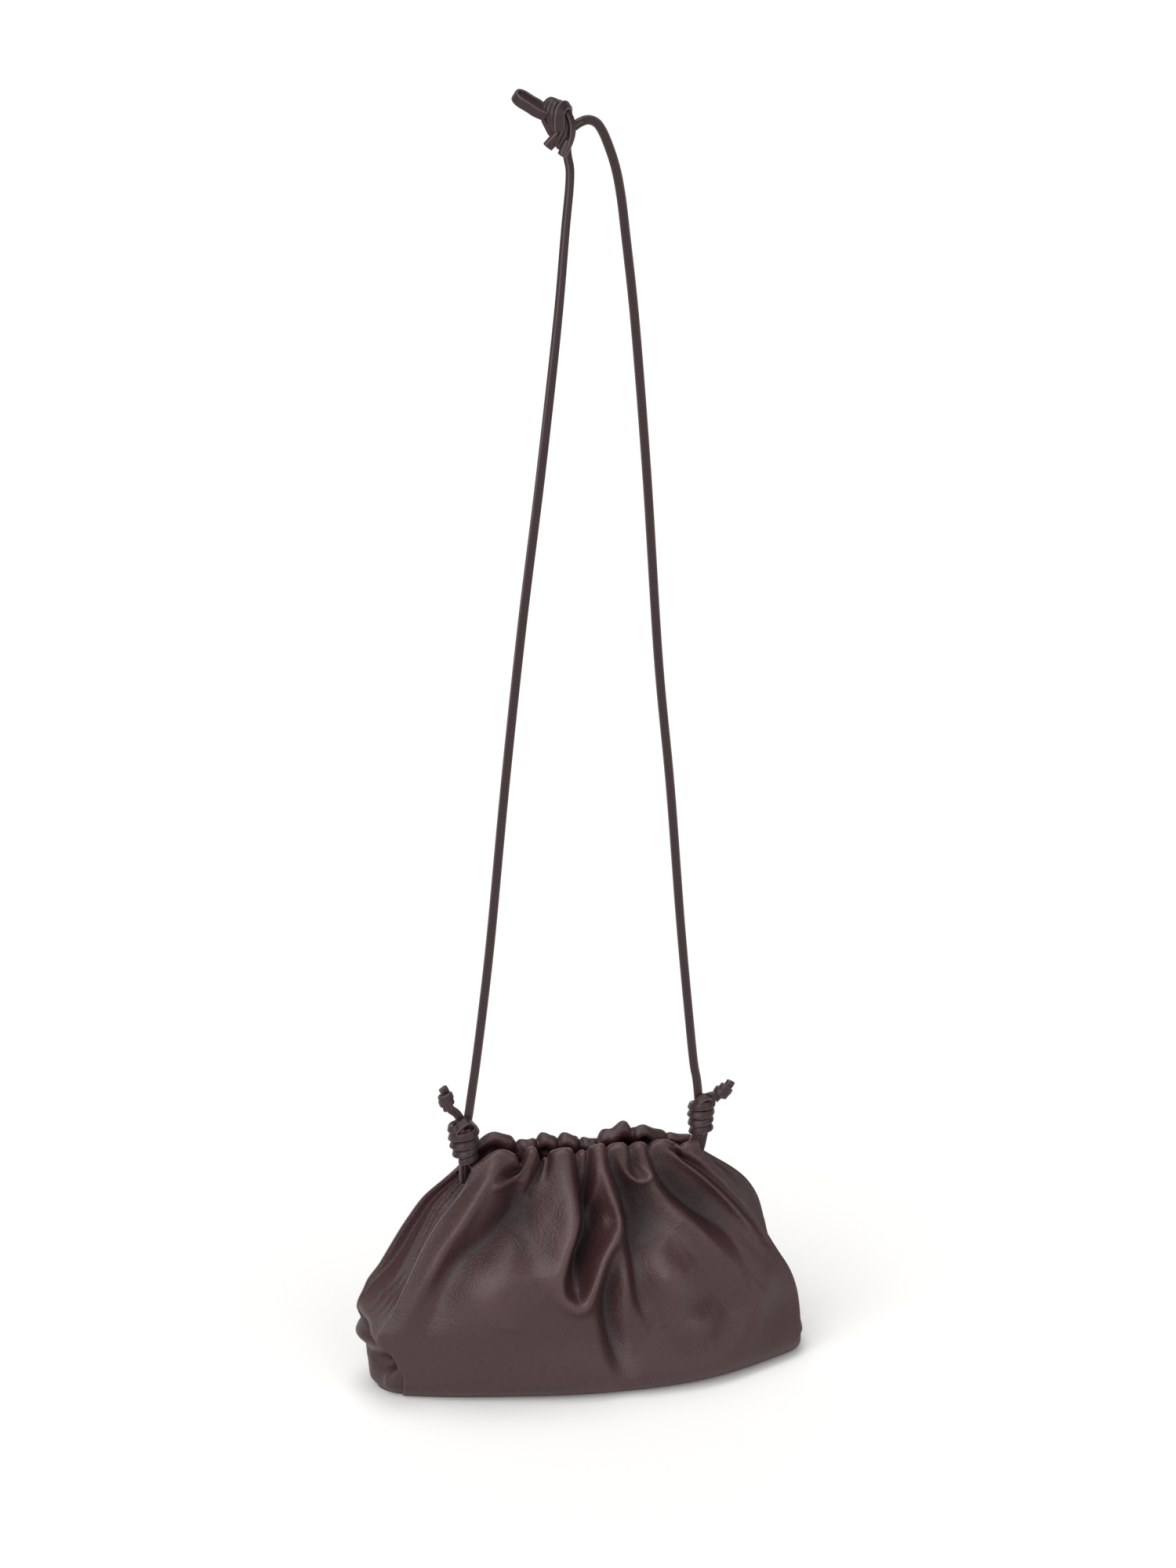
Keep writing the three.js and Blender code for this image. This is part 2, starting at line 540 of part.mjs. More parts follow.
// The flat band that the bag is hung by: a loop open towards the knot, its arms along X
function hangingLoopGeometry() {
  const bend = loopArm * 0.4;
  const pinched = loopHalfDepth * loopPinch;
  const band = new THREE.Shape();
  band.moveTo(loopArm, -pinched);
  band.quadraticCurveTo(bend, -loopHalfDepth, 0, -loopHalfDepth);
  band.absarc(0, 0, loopHalfDepth, -Math.PI / 2, Math.PI / 2, true);
  band.quadraticCurveTo(bend, loopHalfDepth, loopArm, pinched);
  band.lineTo(loopArm, pinched - loopBandWall);
  band.quadraticCurveTo(bend, loopHole, 0, loopHole);
  band.absarc(0, 0, loopHole, Math.PI / 2, -Math.PI / 2, false);
  band.quadraticCurveTo(bend, -loopHole, loopArm, loopBandWall - pinched);
  const geometry = new THREE.ExtrudeGeometry(band, { depth: cordWidth, bevelEnabled: false, curveSegments: 10 });
  return geometry.translate(0, 0, -cordWidth / 2);
}

const bag = new THREE.Group();

function piece(name, geometry, color, roughness = 0.5, metalness = 0) {
  const mesh = new THREE.Mesh(geometry, new THREE.MeshStandardMaterial({ color, roughness, metalness }));
  mesh.name = name;
  bag.add(mesh);
  return mesh;
}

// Middle of the strap bar at one end of the mouth
function strapBarPlace(end) {
  const x = halfWidthAt(end, strapBarZ / endHeight, -1) - strapBarInset;
  return new THREE.Vector3(end * x, 0, strapBarZ);
}

// Pin for the cord's loop to hang on, cut to fit between the two panels
function strapBar(name, place) {
  const pin = new THREE.CylinderGeometry(strapBarRadius, strapBarRadius, 2 * pouchHalfDepth, 12);
  let cut = solidOf(pin.translate(place.x, place.y, place.z));
  for (const [panel, side] of [[frontPanel, -1], [backPanel, 1]]) {
    cut = cut.subtract(solidOf(panel.geometry).translate([0, -side * seamGap, 0]));
  }
  const between = cut.decompose().find((part) => {
    const { min, max } = part.boundingBox();
    return min[1] < place.y && max[1] > place.y;
  });
  piece(`${name}_strap_bar`, geometryOf(between), metalColour, 0.35, 1);
}

// Cord looped down round the strap bar and back up into the barrel knot
function anchorLoop(name, bar, foot) {
  const reach = strapBarRadius + 2 * seamGap + cordThickness / 2;
  const top = foot.z - 4 * seamGap;
  const spread = cordThickness / 2 + seamGap;
  const middle = new THREE.Vector3((foot.x + bar.x) / 2, 0, (top + bar.z) / 2);
  const bend = evenSteps(8, Math.PI, 2 * Math.PI).map((turn) => {
    return new THREE.Vector3(bar.x + reach * Math.cos(turn), 0, bar.z + reach * Math.sin(turn));
  });
  const route = [
    new THREE.Vector3(foot.x - spread, 0, top),
    new THREE.Vector3(middle.x - reach, 0, middle.z),
    ...bend,
    new THREE.Vector3(middle.x + reach, 0, middle.z),
    new THREE.Vector3(foot.x + spread, 0, top),
  ];
  piece(`${name}_anchor_loop`, cordGeometry(route, 24, cordThickness, cordWidth), cordColour);
}

// Tail of the strap with its stopper knot, from the middle of the barrel's top
function tail(name, barrelTop) {
  const { tail: starts, stopper, stopperAim } = strapEnds[name];
  const foot = new THREE.Vector3(...stopper).add(barrelTop);
  const direction = new THREE.Vector3(...stopperAim).normalize();
  const end = foot.clone().addScaledVector(direction, -3 * seamGap);
  const route = [...toPoints(starts).map((place) => place.add(barrelTop)), end];
  piece(`${name}_tail`, cordGeometry(route, 6, tailThickness, tailWidth), cordColour);
  const ball = woundBall(stopperRadius, stopperLength, 4, 2, 12).rotateX(Math.PI / 2);
  const knot = piece(`${name}_stopper_knot`, ball, cordColour);
  knot.position.copy(foot).addScaledVector(direction, stopperLength / 2);
  knot.quaternion.setFromUnitVectors(new THREE.Vector3(0, 0, 1), direction);
}

// Strand from its barrel knot to the top knot: both ends of its route follow the knots they meet
function strand(name, barrelTop, knotCentre) {
  const route = toPoints(strandRoutes[name]);
  const [low, high] = [route[0].clone(), route.at(-1).clone()];
  const footShift = new THREE.Vector3(...strapEnds[name].strand).add(barrelTop).sub(low);
  const topShift = new THREE.Vector3(...strapEnds[name].strandTop).add(knotCentre).sub(high);
  for (const place of route) {
    const share = Math.min((place.z - low.z) / (high.z - low.z), 1);
    place.addScaledVector(footShift, 1 - share).addScaledVector(topShift, share);
  }
  const geometry = cordGeometry(route, strandSteps[name], cordWidth, cordThickness);
  piece(`${name}_strand`, geometry, cordColour);
}

const frontPanel = piece("front_panel", panelGeometry(-1), leatherColour);
const backPanel = piece("back_panel", panelGeometry(1), leatherColour);
piece("base_panel", baseGeometry(), leatherColour);

// The inner side of the hanging loop's bend is at the hook, and its arms end at the knot's side
const loop = piece("hanging_loop", hangingLoopGeometry(), cordColour);
loop.rotation.set(loopRoll, loopDip, knotTurn, "ZYX");
const armWay = new THREE.Vector3(1, 0, 0).applyEuler(loop.rotation);
loop.position.copy(hookPoint).addScaledVector(armWay, loopHole);
const knot = piece("top_knot", topKnotGeometry(), cordColour);
knot.rotation.z = knotTurn;
knot.position.copy(loop.position).addScaledVector(armWay, loopArm);
knot.position.addScaledVector(knotSide, -knotRadius - 3 * seamGap);

for (const [name, end] of [["left", -1], ["right", 1]]) {
  const bar = strapBarPlace(end);
  const foot = new THREE.Vector3(...strapEnds[name].barrel).add(bar);
  piece(`${name}_gusset`, gussetGeometry(end), leatherColour);
  strapBar(name, bar);
  anchorLoop(name, bar, foot);
  const barrel = piece(`${name}_barrel_knot`, barrelGeometry(), cordColour);
  barrel.position.copy(foot);
  barrel.rotation.y = strapEnds[name].lean;
  const barrelTop = new THREE.Vector3(0, 0, barrelLength).applyEuler(barrel.rotation).add(foot);
  tail(name, barrelTop);
  strand(name, barrelTop, knot.position);
}

const hung = new THREE.Group();
bag.position.copy(hookPoint).negate();
hung.add(bag);

export default hung;
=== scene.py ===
import math

import bpy
import numpy as np
from mathutils import Matrix


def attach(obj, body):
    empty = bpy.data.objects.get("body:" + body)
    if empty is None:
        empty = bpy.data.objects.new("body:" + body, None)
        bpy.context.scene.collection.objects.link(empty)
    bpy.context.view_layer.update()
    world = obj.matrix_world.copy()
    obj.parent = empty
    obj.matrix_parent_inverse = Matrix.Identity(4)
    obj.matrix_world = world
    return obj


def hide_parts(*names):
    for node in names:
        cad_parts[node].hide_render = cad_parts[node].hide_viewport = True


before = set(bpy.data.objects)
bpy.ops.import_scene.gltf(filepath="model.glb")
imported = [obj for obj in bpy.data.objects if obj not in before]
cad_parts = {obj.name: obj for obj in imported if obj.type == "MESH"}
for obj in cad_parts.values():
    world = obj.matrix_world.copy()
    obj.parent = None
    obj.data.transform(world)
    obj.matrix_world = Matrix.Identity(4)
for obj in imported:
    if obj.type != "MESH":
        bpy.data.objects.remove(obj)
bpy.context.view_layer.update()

# Lengths are millimetres above the ground under the bag, until inFrame hangs them from the hook
hook = np.array([-31.7, 0.0, 660.7])


def inFrame(points):
    return (np.asarray(points, float) - hook) / 1000


def ease(low, high, value):  # 0 at low, 1 at high, level at both
    t = np.clip((value - low) / (high - low), 0, 1)
    return t * t * (3 - 2 * t)


def unit(vectors):
    vectors = np.asarray(vectors, float)
    return vectors / np.maximum(np.linalg.norm(vectors, axis=-1, keepdims=True), 1e-12)


def curveAt(table, column, place):  # smooth value of one column of a table
    at, value = np.array(table["at"], float), np.array(table[column], float)
    slope = np.gradient(value, at, edge_order=1)
    slope[1:-1] = (value[2:] - value[:-2]) / (at[2:] - at[:-2])
    held = np.clip(place, at[0], at[-1])
    i = np.clip(np.searchsorted(at, held, side="right") - 1, 0, len(at) - 2)
    step = at[i + 1] - at[i]
    t = (held - at[i]) / step
    start = (2 * t**3 - 3 * t**2 + 1) * value[i] + (t**3 - 2 * t**2 + t) * step * slope[i]
    return start + (3 * t**2 - 2 * t**3) * value[i + 1] + (t**3 - t**2) * step * slope[i + 1]


def smoothRoute(points, step):  # a smooth line through the points, in even steps
    p = np.asarray(points, float)
    p = np.vstack([2 * p[0] - p[1], p, 2 * p[-1] - p[-2]])
    pieces = []
    for a, b, c, d in zip(p, p[1:], p[2:], p[3:]):
        gaps = [max(np.linalg.norm(v) ** 0.5, 1e-6) for v in (b - a, c - b, d - c)]
        at = np.cumsum([0] + gaps)
        t = np.linspace(at[1], at[2], 16, endpoint=False)[:, None]
        one = a + (b - a) * (t - at[0]) / (at[1] - at[0])
        two = b + (c - b) * (t - at[1]) / (at[2] - at[1])
        three = c + (d - c) * (t - at[2]) / (at[3] - at[2])
        low = one + (two - one) * (t - at[0]) / (at[2] - at[0])
        high = two + (three - two) * (t - at[1]) / (at[3] - at[1])
        pieces.append(low + (high - low) * (t - at[1]) / (at[2] - at[1]))
    line = np.vstack(pieces + [p[-2:-1]])
    reach = np.concatenate([[0], np.cumsum(np.linalg.norm(np.diff(line, axis=0), axis=1))])
    even = np.linspace(0, reach[-1], max(int(round(reach[-1] / step)), 2) + 1)
    return np.stack([np.interp(even, reach, line[:, k]) for k in range(line.shape[1])], 1)


def addObject(name, data):
    made = bpy.data.objects.new(name, data)
    bpy.context.scene.collection.objects.link(made)
    return made


def smoothShade(mesh):
    mesh.polygons.foreach_set("use_smooth", [True] * len(mesh.polygons))


def routeLength(route):
    return float(np.linalg.norm(np.diff(route, axis=0), axis=1).sum())


# The photo looks down on the bag from a little left of its front
viewpoint = {"turn": -16, "tilt": 18, "distance": 2000, "pixelsPerMm": 2.45,
             "aim": (0, 0, 60), "aimPixel": (742, 1600), "image": (1500, 2000), "sensor": 36}


def makeCamera():
    turn, tilt = math.radians(viewpoint["turn"]), math.radians(viewpoint["tilt"])
    back = np.array([math.sin(turn) * math.cos(tilt), -math.cos(turn) * math.cos(tilt), math.sin(tilt)])
    right = np.array([math.cos(turn), math.sin(turn), 0])
    up = np.cross(back, right)
    offset = np.array(viewpoint["aimPixel"]) - np.array(viewpoint["image"]) / 2
    aside, below = offset / viewpoint["pixelsPerMm"]
    place = inFrame(np.array(viewpoint["aim"]) + back * viewpoint["distance"] - right * aside + up * below)
    data = bpy.data.cameras.new("bagCamera")
    data.sensor_width = viewpoint["sensor"]
    data.lens = viewpoint["distance"] * viewpoint["pixelsPerMm"] / viewpoint["image"][1] * viewpoint["sensor"]
    data.clip_end = 100
    camera = addObject("bagCamera", data)
    columns = np.stack([right, up, back, place], 1)
    camera.matrix_world = Matrix([list(row) for row in columns] + [[0, 0, 0, 1]])
    bpy.context.scene.camera = camera


makeCamera()
print("camera ready")


class Knob:  # a socket of a material's nodes, with the operators of shader maths
    def __init__(self, finish, end):
        self.finish, self.end = finish, end

    def worked(self, operation, *values):
        return self.finish.node("ShaderNodeMath", {"operation": operation}, dict(enumerate(values)))

    def __add__(self, other): return self.worked("ADD", self, other)
    def __radd__(self, other): return self.worked("ADD", other, self)
    def __sub__(self, other): return self.worked("SUBTRACT", self, other)
    def __rsub__(self, other): return self.worked("SUBTRACT", other, self)
    def __mul__(self, other): return self.worked("MULTIPLY", self, other)
    def __rmul__(self, other): return self.worked("MULTIPLY", other, self)
    def __abs__(self): return self.worked("ABSOLUTE", self)

    def between(self, low, high):  # 0 at low, 1 at high, held beyond both
        return self.finish.node("ShaderNodeMapRange", {"interpolation_type": "SMOOTHSTEP"},
                                {"Value": self, "From Min": low, "From Max": high})


class Finish:  # a material and the one way its nodes are made
    def __init__(self, name):
        self.material = bpy.data.materials.new(name)
        self.material.use_nodes = True
        self.tree = self.material.node_tree
        self.tree.nodes.clear()

    def node(self, kind, settings=None, sockets=None, output=0):
        made = self.tree.nodes.new(kind)
        for key, value in (settings or {}).items():
            setattr(made, key, value)
        for key, value in (sockets or {}).items():
            if isinstance(value, Knob):
                self.tree.links.new(value.end, made.inputs[key])
            else:
                made.inputs[key].default_value = value
        return Knob(self, made.outputs[output]) if len(made.outputs) else None

    def place(self):
        return self.node("ShaderNodeTexCoord", output="Object")

    def noise(self, scale, detail=3.0, rough=0.5, at=None):
        return self.node("ShaderNodeTexNoise", {}, {"Vector": at or self.place(), "Scale": scale,
                                                   "Detail": detail, "Roughness": rough})

    def pebbles(self, scale):
        return self.node("ShaderNodeTexVoronoi", {"feature": "SMOOTH_F1"},
                         {"Vector": self.place(), "Scale": scale, "Smoothness": 0.6})

    def tag(self, name):
        return self.node("ShaderNodeAttribute", {"attribute_name": name}, output="Fac")

    def dent(self, height, depth, strength):
        return self.node("ShaderNodeBump", {}, {"Strength": strength, "Distance": depth, "Height": height})

    def blend(self, share, low, high):  # a colour between two
        colour = [(*c, 1) if isinstance(c, tuple) else c for c in (low, high)]
        return self.node("ShaderNodeMix", {"data_type": "RGBA"}, {0: share, 6: colour[0], 7: colour[1]}, 2)

    def finishWith(self, **sockets):
        named = {name.replace("_", " "): value for name, value in sockets.items()}
        skin = self.node("ShaderNodeBsdfPrincipled", {}, named)
        self.node("ShaderNodeOutputMaterial", {}, {"Surface": skin})
        return self.material


# Colours (with a painted shade for creases and painted highlights for ridges and beside the cord's edges),
# then the fineness of each pattern (higher is finer) and the depth of the grain in metres
leatherLook = {
    "deep": (0.012, 0.003, 0.004), "skin": (0.0355, 0.0102, 0.0124), "ridgeHighlight": (0.064, 0.0255, 0.0285),
    "warm": (0.062, 0.022, 0.02), "rough": 0.48, "shine": 0.55, "coat": 0.12, "coatRough": 0.36,
    "cloud": 38, "mottle": 420, "pebble": 850, "crackle": 1500, "uneven": 160, "grainDepth": 0.0003}
cordLook = {
    "deep": (0.008, 0.003, 0.004), "skin": (0.026, 0.0105, 0.013), "ridgeHighlight": (0.05, 0.024, 0.028),
    "lip": (0.15, 0.086, 0.09), "edge": (0.007, 0.0035, 0.0045), "rough": 0.42, "shine": 0.42,
    "cloud": 60, "mottle": 500, "pebble": 1100, "uneven": 300, "grainDepth": 0.00012}
threadLook = {"low": (0.03, 0.015, 0.018), "high": (0.075, 0.045, 0.048), "rough": 0.6, "twist": 2600,
              "twistDepth": 0.00008}
metalLook = {"low": (0.3, 0.28, 0.24), "high": (0.5, 0.47, 0.42), "rough": 0.28, "stretch": (3000, 60, 3000),
             "streakDepth": 0.00005}


def bodyLeather():
    look, leather = leatherLook, Finish("bodyLeather")
    bend, rise = leather.tag("bend"), leather.tag("stand")  # how sharp the skin is, height of its folds in mm
    cloud, mottle = leather.noise(look["cloud"], 4, 0.6), leather.noise(look["mottle"], 3, 0.6)
    # Painted shade: concave creases and low-lying folds are darkened towards the deep colour
    low = (bend * -5 - rise * 0.1 + (cloud - 0.5) * 0.3).between(0, 1.2)
    # Painted highlight: convex ridges and high folds are lightened towards the ridge colour
    high = (bend * 5 + rise * 0.05 + (cloud - 0.5) * 0.5 + (mottle - 0.5) * 0.5).between(0.05, 1.1)
    tone = leather.blend(low, look["skin"], look["deep"])
    tone = leather.blend(high, tone, look["ridgeHighlight"])
    tone = leather.blend((mottle - 0.42) * (cloud * 1.6), tone, look["warm"])
    grain = leather.pebbles(look["pebble"]) * -0.8 + leather.noise(look["crackle"], 2, 0.5) * 0.35
    grain = grain + leather.noise(look["uneven"], 3, 0.6) * 0.6
    return leather.finishWith(Base_Color=tone, Roughness=look["rough"] + low * 0.22 + (cloud - 0.5) * 0.12,
                              Normal=leather.dent(grain, look["grainDepth"], 0.75),
                              Specular_IOR_Level=look["shine"], Coat_Weight=high * look["coat"],
                              Coat_Roughness=look["coatRough"])


def cordLeather():
    look, leather = cordLook, Finish("cordLeather")
    bend, across = leather.tag("bend"), abs(leather.tag("across"))
    cloud, mottle = leather.noise(look["cloud"], 4, 0.6), leather.noise(look["mottle"], 3, 0.6)
    # Painted shade in the cord's creases and painted highlight on its ridges
    low = (bend * -3 + (cloud - 0.5) * 0.3).between(0, 1)
    high = (bend * 2.2 + (cloud - 0.5) * 0.4 + (mottle - 0.5) * 0.4).between(0.1, 1.2)
    tone = leather.blend(low, look["skin"], look["deep"])
    tone = leather.blend(high, tone, look["ridgeHighlight"])
    tone = leather.blend(across.between(0.66, 0.86) * 0.6, tone, look["lip"])  # painted highlight beside each edge
    tone = leather.blend(across.between(0.93, 0.985) * 0.85, tone, look["edge"])  # painted dark on the edge
    grain = leather.pebbles(look["pebble"]) * -0.7 + leather.noise(look["uneven"], 3, 0.6) * 1.2
    return leather.finishWith(Base_Color=tone, Roughness=look["rough"] + (cloud - 0.5) * 0.12,
                              Normal=leather.dent(grain, look["grainDepth"], 0.6),
                              Specular_IOR_Level=look["shine"])


def stitchThread():
    look, thread = threadLook, Finish("stitchThread")
    twist = thread.noise(look["twist"], 2, 0.5)
    return thread.finishWith(Base_Color=thread.blend(twist, look["low"], look["high"]),
                             Roughness=look["rough"] + twist * 0.15,
                             Normal=thread.dent(twist, look["twistDepth"], 0.5))


def brushedMetal():
    look, metal = metalLook, Finish("brushedMetal")
    stretched = metal.node("ShaderNodeMapping", {}, {"Vector": metal.place(), "Scale": look["stretch"]})
    streak = metal.noise(1, 3, 0.6, stretched)
    return metal.finishWith(Base_Color=metal.blend(streak, look["low"], look["high"]), Metallic=1,
                            Roughness=look["rough"] + streak * 0.15,
                            Normal=metal.dent(streak, look["streakDepth"], 0.3))


skins = {"body_leather": bodyLeather(), "cord_leather": cordLeather()}
threadSkin, metalSkin = stitchThread(), brushedMetal()
print("materials ready")


def bendOf(mesh):  # how sharply each point stands out (above 0) or lies in (below 0), per mm
    count = len(mesh.vertices)
    place, normal = np.empty(count * 3, np.float32), np.empty(count * 3, np.float32)
    mesh.vertices.foreach_get("co", place)
    mesh.vertex_normals.foreach_get("vector", normal)
    place, normal = place.reshape(-1, 3).astype(float) * 1000, normal.reshape(-1, 3)
    ends = np.empty(len(mesh.edges) * 2, np.int32)
    mesh.edges.foreach_get("vertices", ends)
    a, b = ends.reshape(-1, 2).T
    reach = (np.linalg.norm(place[a] - place[b], axis=1)) ** 2
    total = np.stack([np.bincount(a, place[b, k], count) + np.bincount(b, place[a, k], count)
                      for k in range(3)], 1)
    joined = np.maximum(np.bincount(a, minlength=count) + np.bincount(b, minlength=count), 1)
    span = (np.bincount(a, reach, count) + np.bincount(b, reach, count)) / joined
    value = -((total / joined[:, None] - place) * normal).sum(1) / np.maximum(span, 1e-6)
    for _ in range(4):
        around = (np.bincount(a, value[b], count) + np.bincount(b, value[a], count)) / joined
        value = 0.4 * value + 0.6 * around
    return value


def writeTag(mesh, tag, values):  # a number for each point, which the materials read
    mesh.attributes.new(tag, "FLOAT", "POINT").data.foreach_set("value", np.asarray(values, np.float32))


def makePiece(name, parts, slot, node):  # one piece of the bag in place of one node of the CAD
    points, faces, tags, start = [], [], {"across": [], "stand": []}, 0
    for part in parts:
        own, quads = np.asarray(part["points"], float), np.asarray(part["faces"], int)
        middle = own.mean(0)
        a, b, c, d = (own[quads[:, k]] - middle for k in range(4))
        inside = ((np.cross(a, b) * c).sum() + (np.cross(a, c) * d).sum()) < 0
        caps = [list(cap) for cap in part.get("caps", [])]
        faces += ((quads[:, ::-1] if inside else quads) + start).tolist()
        faces += [[start + i for i in (cap[::-1] if inside else cap)] for cap in caps]
        points.append(own)
        for tag in tags:
            tags[tag].append(np.asarray(part.get(tag, np.zeros(len(own))), float))
        start += len(own)
    mesh = bpy.data.meshes.new(name)
    mesh.from_pydata(inFrame(np.vstack(points)).tolist(), [], faces)
    smoothShade(mesh)
    mesh.update()
    for tag, values in tags.items():
        writeTag(mesh, tag, np.concatenate(values))
    writeTag(mesh, "bend", bendOf(mesh))
    mesh.materials.append(skins[slot])
    piece = addObject(name, mesh)
    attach(piece, "root")
    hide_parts(node)
    return piece


def flatSection(width, thick, groove=0.0, edgeLine=0.0):  # outline of a flat cord, wide way first
    across = np.array([-1, -0.985, -0.94, -0.88, -0.83, -0.79, -0.75, -0.68, -0.5, -0.3, -0.16, -0.09, 0,
                       0.09, 0.16, 0.3, 0.5, 0.68, 0.75, 0.79, 0.83, 0.88, 0.94, 0.985, 1])
    out = (1 - np.abs(across) ** 6) ** 0.5 * thick / 2
    out -= groove * np.exp(-((across / 0.1) ** 2))
    out -= edgeLine * np.exp(-(((np.abs(across) - 0.79) / 0.035) ** 2))
    top = np.stack([across * width / 2, np.maximum(out, 0)], 1)
    return np.vstack([top, (top * [1, -1])[-2:0:-1]])


def roundSection(radius, sides=20):
    turn = np.linspace(0, 2 * np.pi, sides, endpoint=False)
    return np.stack([np.cos(turn), np.sin(turn)], 1) * radius


def ringFaces(rows, around):  # the quads between closed rings of points
    row, column = np.meshgrid(np.arange(rows - 1), np.arange(around), indexing="ij")
    following = (column + 1) % around
    return np.stack([row * around + column, row * around + following,
                     (row + 1) * around + following, (row + 1) * around + column], -1).reshape(-1, 4)


def ringCaps(rows, around):  # the faces that close the first and the last ring
    return [list(range(around))[::-1], [(rows - 1) * around + i for i in range(around)]]


def sweep(route, flats, section, widen=None, edge=0.35):  # a closed tube along a route
    route = np.asarray(route, float)
    flats = np.broadcast_to(np.asarray(flats, float), route.shape)
    along = unit(np.gradient(route, axis=0))
    out = unit(flats - along * (flats * along).sum(1, keepdims=True))
    side = np.cross(along, out)
    size = (np.ones(len(route)) if widen is None else np.asarray(widen, float))[:, None, None]
    spread = side[:, None] * section[None, :, :1] + out[:, None] * section[None, :, 1:]
    rings = route[:, None] + spread * size
    first = route[0] + (rings[0] - route[0]) * 0.86 - along[0] * edge
    last = route[-1] + (rings[-1] - route[-1]) * 0.86 + along[-1] * edge
    rings = np.concatenate([first[None], rings, last[None]])
    count, around = rings.shape[:2]
    share = section[:, 0] / np.abs(section[:, 0]).max()
    return {"points": rings.reshape(-1, 3), "faces": ringFaces(count, around),
            "caps": ringCaps(count, around), "across": np.tile(share, count)}


strap = {
    "width": 4.6, "thick": 3.0, "groove": 0.32, "edgeLine": 0.16, "step": 1.6,
    "stitches": {"Spacing": 2.2, "Length": 1.55, "Width": 0.5, "Height": 0.42}, "stitchWobble": 0.06,
    "left": {"route": [[-61.6, 0, 137.5], [-60.2, 0, 143.9], [-58.5, 0, 155], [-56, 0, 171.8],
                       [-51.6, 0, 205], [-47.6, 0, 239], [-39.4, 0, 321], [-30.4, 0, 401],
                       [-20.3, 0, 479], [-11.4, 0, 556], [-7.7, 0, 597.3], [-5.7, 0, 617.8],
                       [-5.6, 0, 625.2], [-6.7, 0, 631], [-7.3, -0.1, 636.6], [-8.4, -0.2, 642]],
             "faces": {"at": [137, 200, 320, 480, 560, 636], "turn": [-22, -16, -12, 2, 30, 36]}},
    "right": {"route": [[63.3, 0, 135.5], [62.9, 0, 141.6], [61.8, 0, 152], [60.5, 0, 158.7], [57.2, 0, 189],
                        [52.6, 0, 237], [46.4, 0, 313], [40.2, 0, 375], [33.2, 0, 476], [26.6, 0, 554],
                        [22.2, 0, 592.1], [19.6, 0, 612.3], [17, 0, 625], [13.1, 0, 636.5], [9.9, 0, 643.4],
                        [7.3, 0, 646.6], [3.4, 0, 648], [-0.6, 0, 646.9], [-3.6, -0.5, 645.2]],
              "faces": {"at": [135, 200, 480, 620, 650], "turn": [-20, -15, -14, -18, -12]}},
}


def stitchRowTree():
    tree = bpy.data.node_groups.new("stitchRow", "GeometryNodeTree")
    made, link = tree.nodes.new, tree.links.new
    tree.interface.new_socket("Geometry", in_out="INPUT", socket_type="NodeSocketGeometry")
    for name in (*strap["stitches"], "Wobble"):
        tree.interface.new_socket(name, in_out="INPUT", socket_type="NodeSocketFloat")
    tree.interface.new_socket("Seed", in_out="INPUT", socket_type="NodeSocketInt").default_value = 4
    tree.interface.new_socket("Thread", in_out="INPUT", socket_type="NodeSocketMaterial")
    tree.interface.new_socket("Geometry", in_out="OUTPUT", socket_type="NodeSocketGeometry")
    given, result = made("NodeGroupInput"), made("NodeGroupOutput")
    line, even = made("GeometryNodeMeshToCurve"), made("GeometryNodeResampleCurve")
    even.mode = "LENGTH"
    link(given.outputs["Geometry"], line.inputs[0])
    link(line.outputs[0], even.inputs["Curve"])
    link(given.outputs["Spacing"], even.inputs["Length"])
    bead = made("GeometryNodeMeshUVSphere")
    bead.inputs["Segments"].default_value, bead.inputs["Rings"].default_value = 8, 5
    bead.inputs["Radius"].default_value = 0.5
    size = made("ShaderNodeCombineXYZ")
    for k, name in enumerate(("Length", "Width", "Height")):
        link(given.outputs[name], size.inputs[k])
    facing = made("GeometryNodeInputNamedAttribute")
    facing.data_type = "FLOAT_VECTOR"
    facing.inputs["Name"].default_value = "facing"
    upright, forward = made("FunctionNodeAlignRotationToVector"), made("FunctionNodeAlignRotationToVector")
    upright.axis, forward.axis, forward.pivot_axis = "Z", "X", "Z"
    link(facing.outputs["Attribute"], upright.inputs["Vector"])
    link(upright.outputs[0], forward.inputs["Rotation"])
    link(made("GeometryNodeInputTangent").outputs[0], forward.inputs["Vector"])
    sway = made("FunctionNodeRandomValue")
    sway.data_type = "FLOAT"
    negative = made("ShaderNodeMath")
    negative.operation = "MULTIPLY"
    negative.inputs[1].default_value = -1
    link(given.outputs["Wobble"], negative.inputs[0])
    link(negative.outputs[0], sway.inputs[2])
    link(given.outputs["Wobble"], sway.inputs[3])
    link(given.outputs["Seed"], sway.inputs["Seed"])
    tilt, turned = made("FunctionNodeAxisAngleToRotation"), made("FunctionNodeRotateRotation")
    turned.rotation_space = "LOCAL"
    tilt.inputs["Axis"].default_value = (0, 0, 1)
    link(sway.outputs[1], tilt.inputs["Angle"])
    link(forward.outputs[0], turned.inputs["Rotation"])
    link(tilt.outputs[0], turned.inputs["Rotate By"])
    placed = made("GeometryNodeInstanceOnPoints")
    link(even.outputs[0], placed.inputs["Points"])
    link(bead.outputs["Mesh"], placed.inputs["Instance"])
    link(turned.outputs[0], placed.inputs["Rotation"])
    link(size.outputs[0], placed.inputs["Scale"])
    solid, coloured = made("GeometryNodeRealizeInstances"), made("GeometryNodeSetMaterial")
    link(placed.outputs[0], solid.inputs[0])
    link(solid.outputs[0], coloured.inputs["Geometry"])
    link(given.outputs["Thread"], coloured.inputs["Material"])
    link(coloured.outputs[0], result.inputs[0])
    return tree


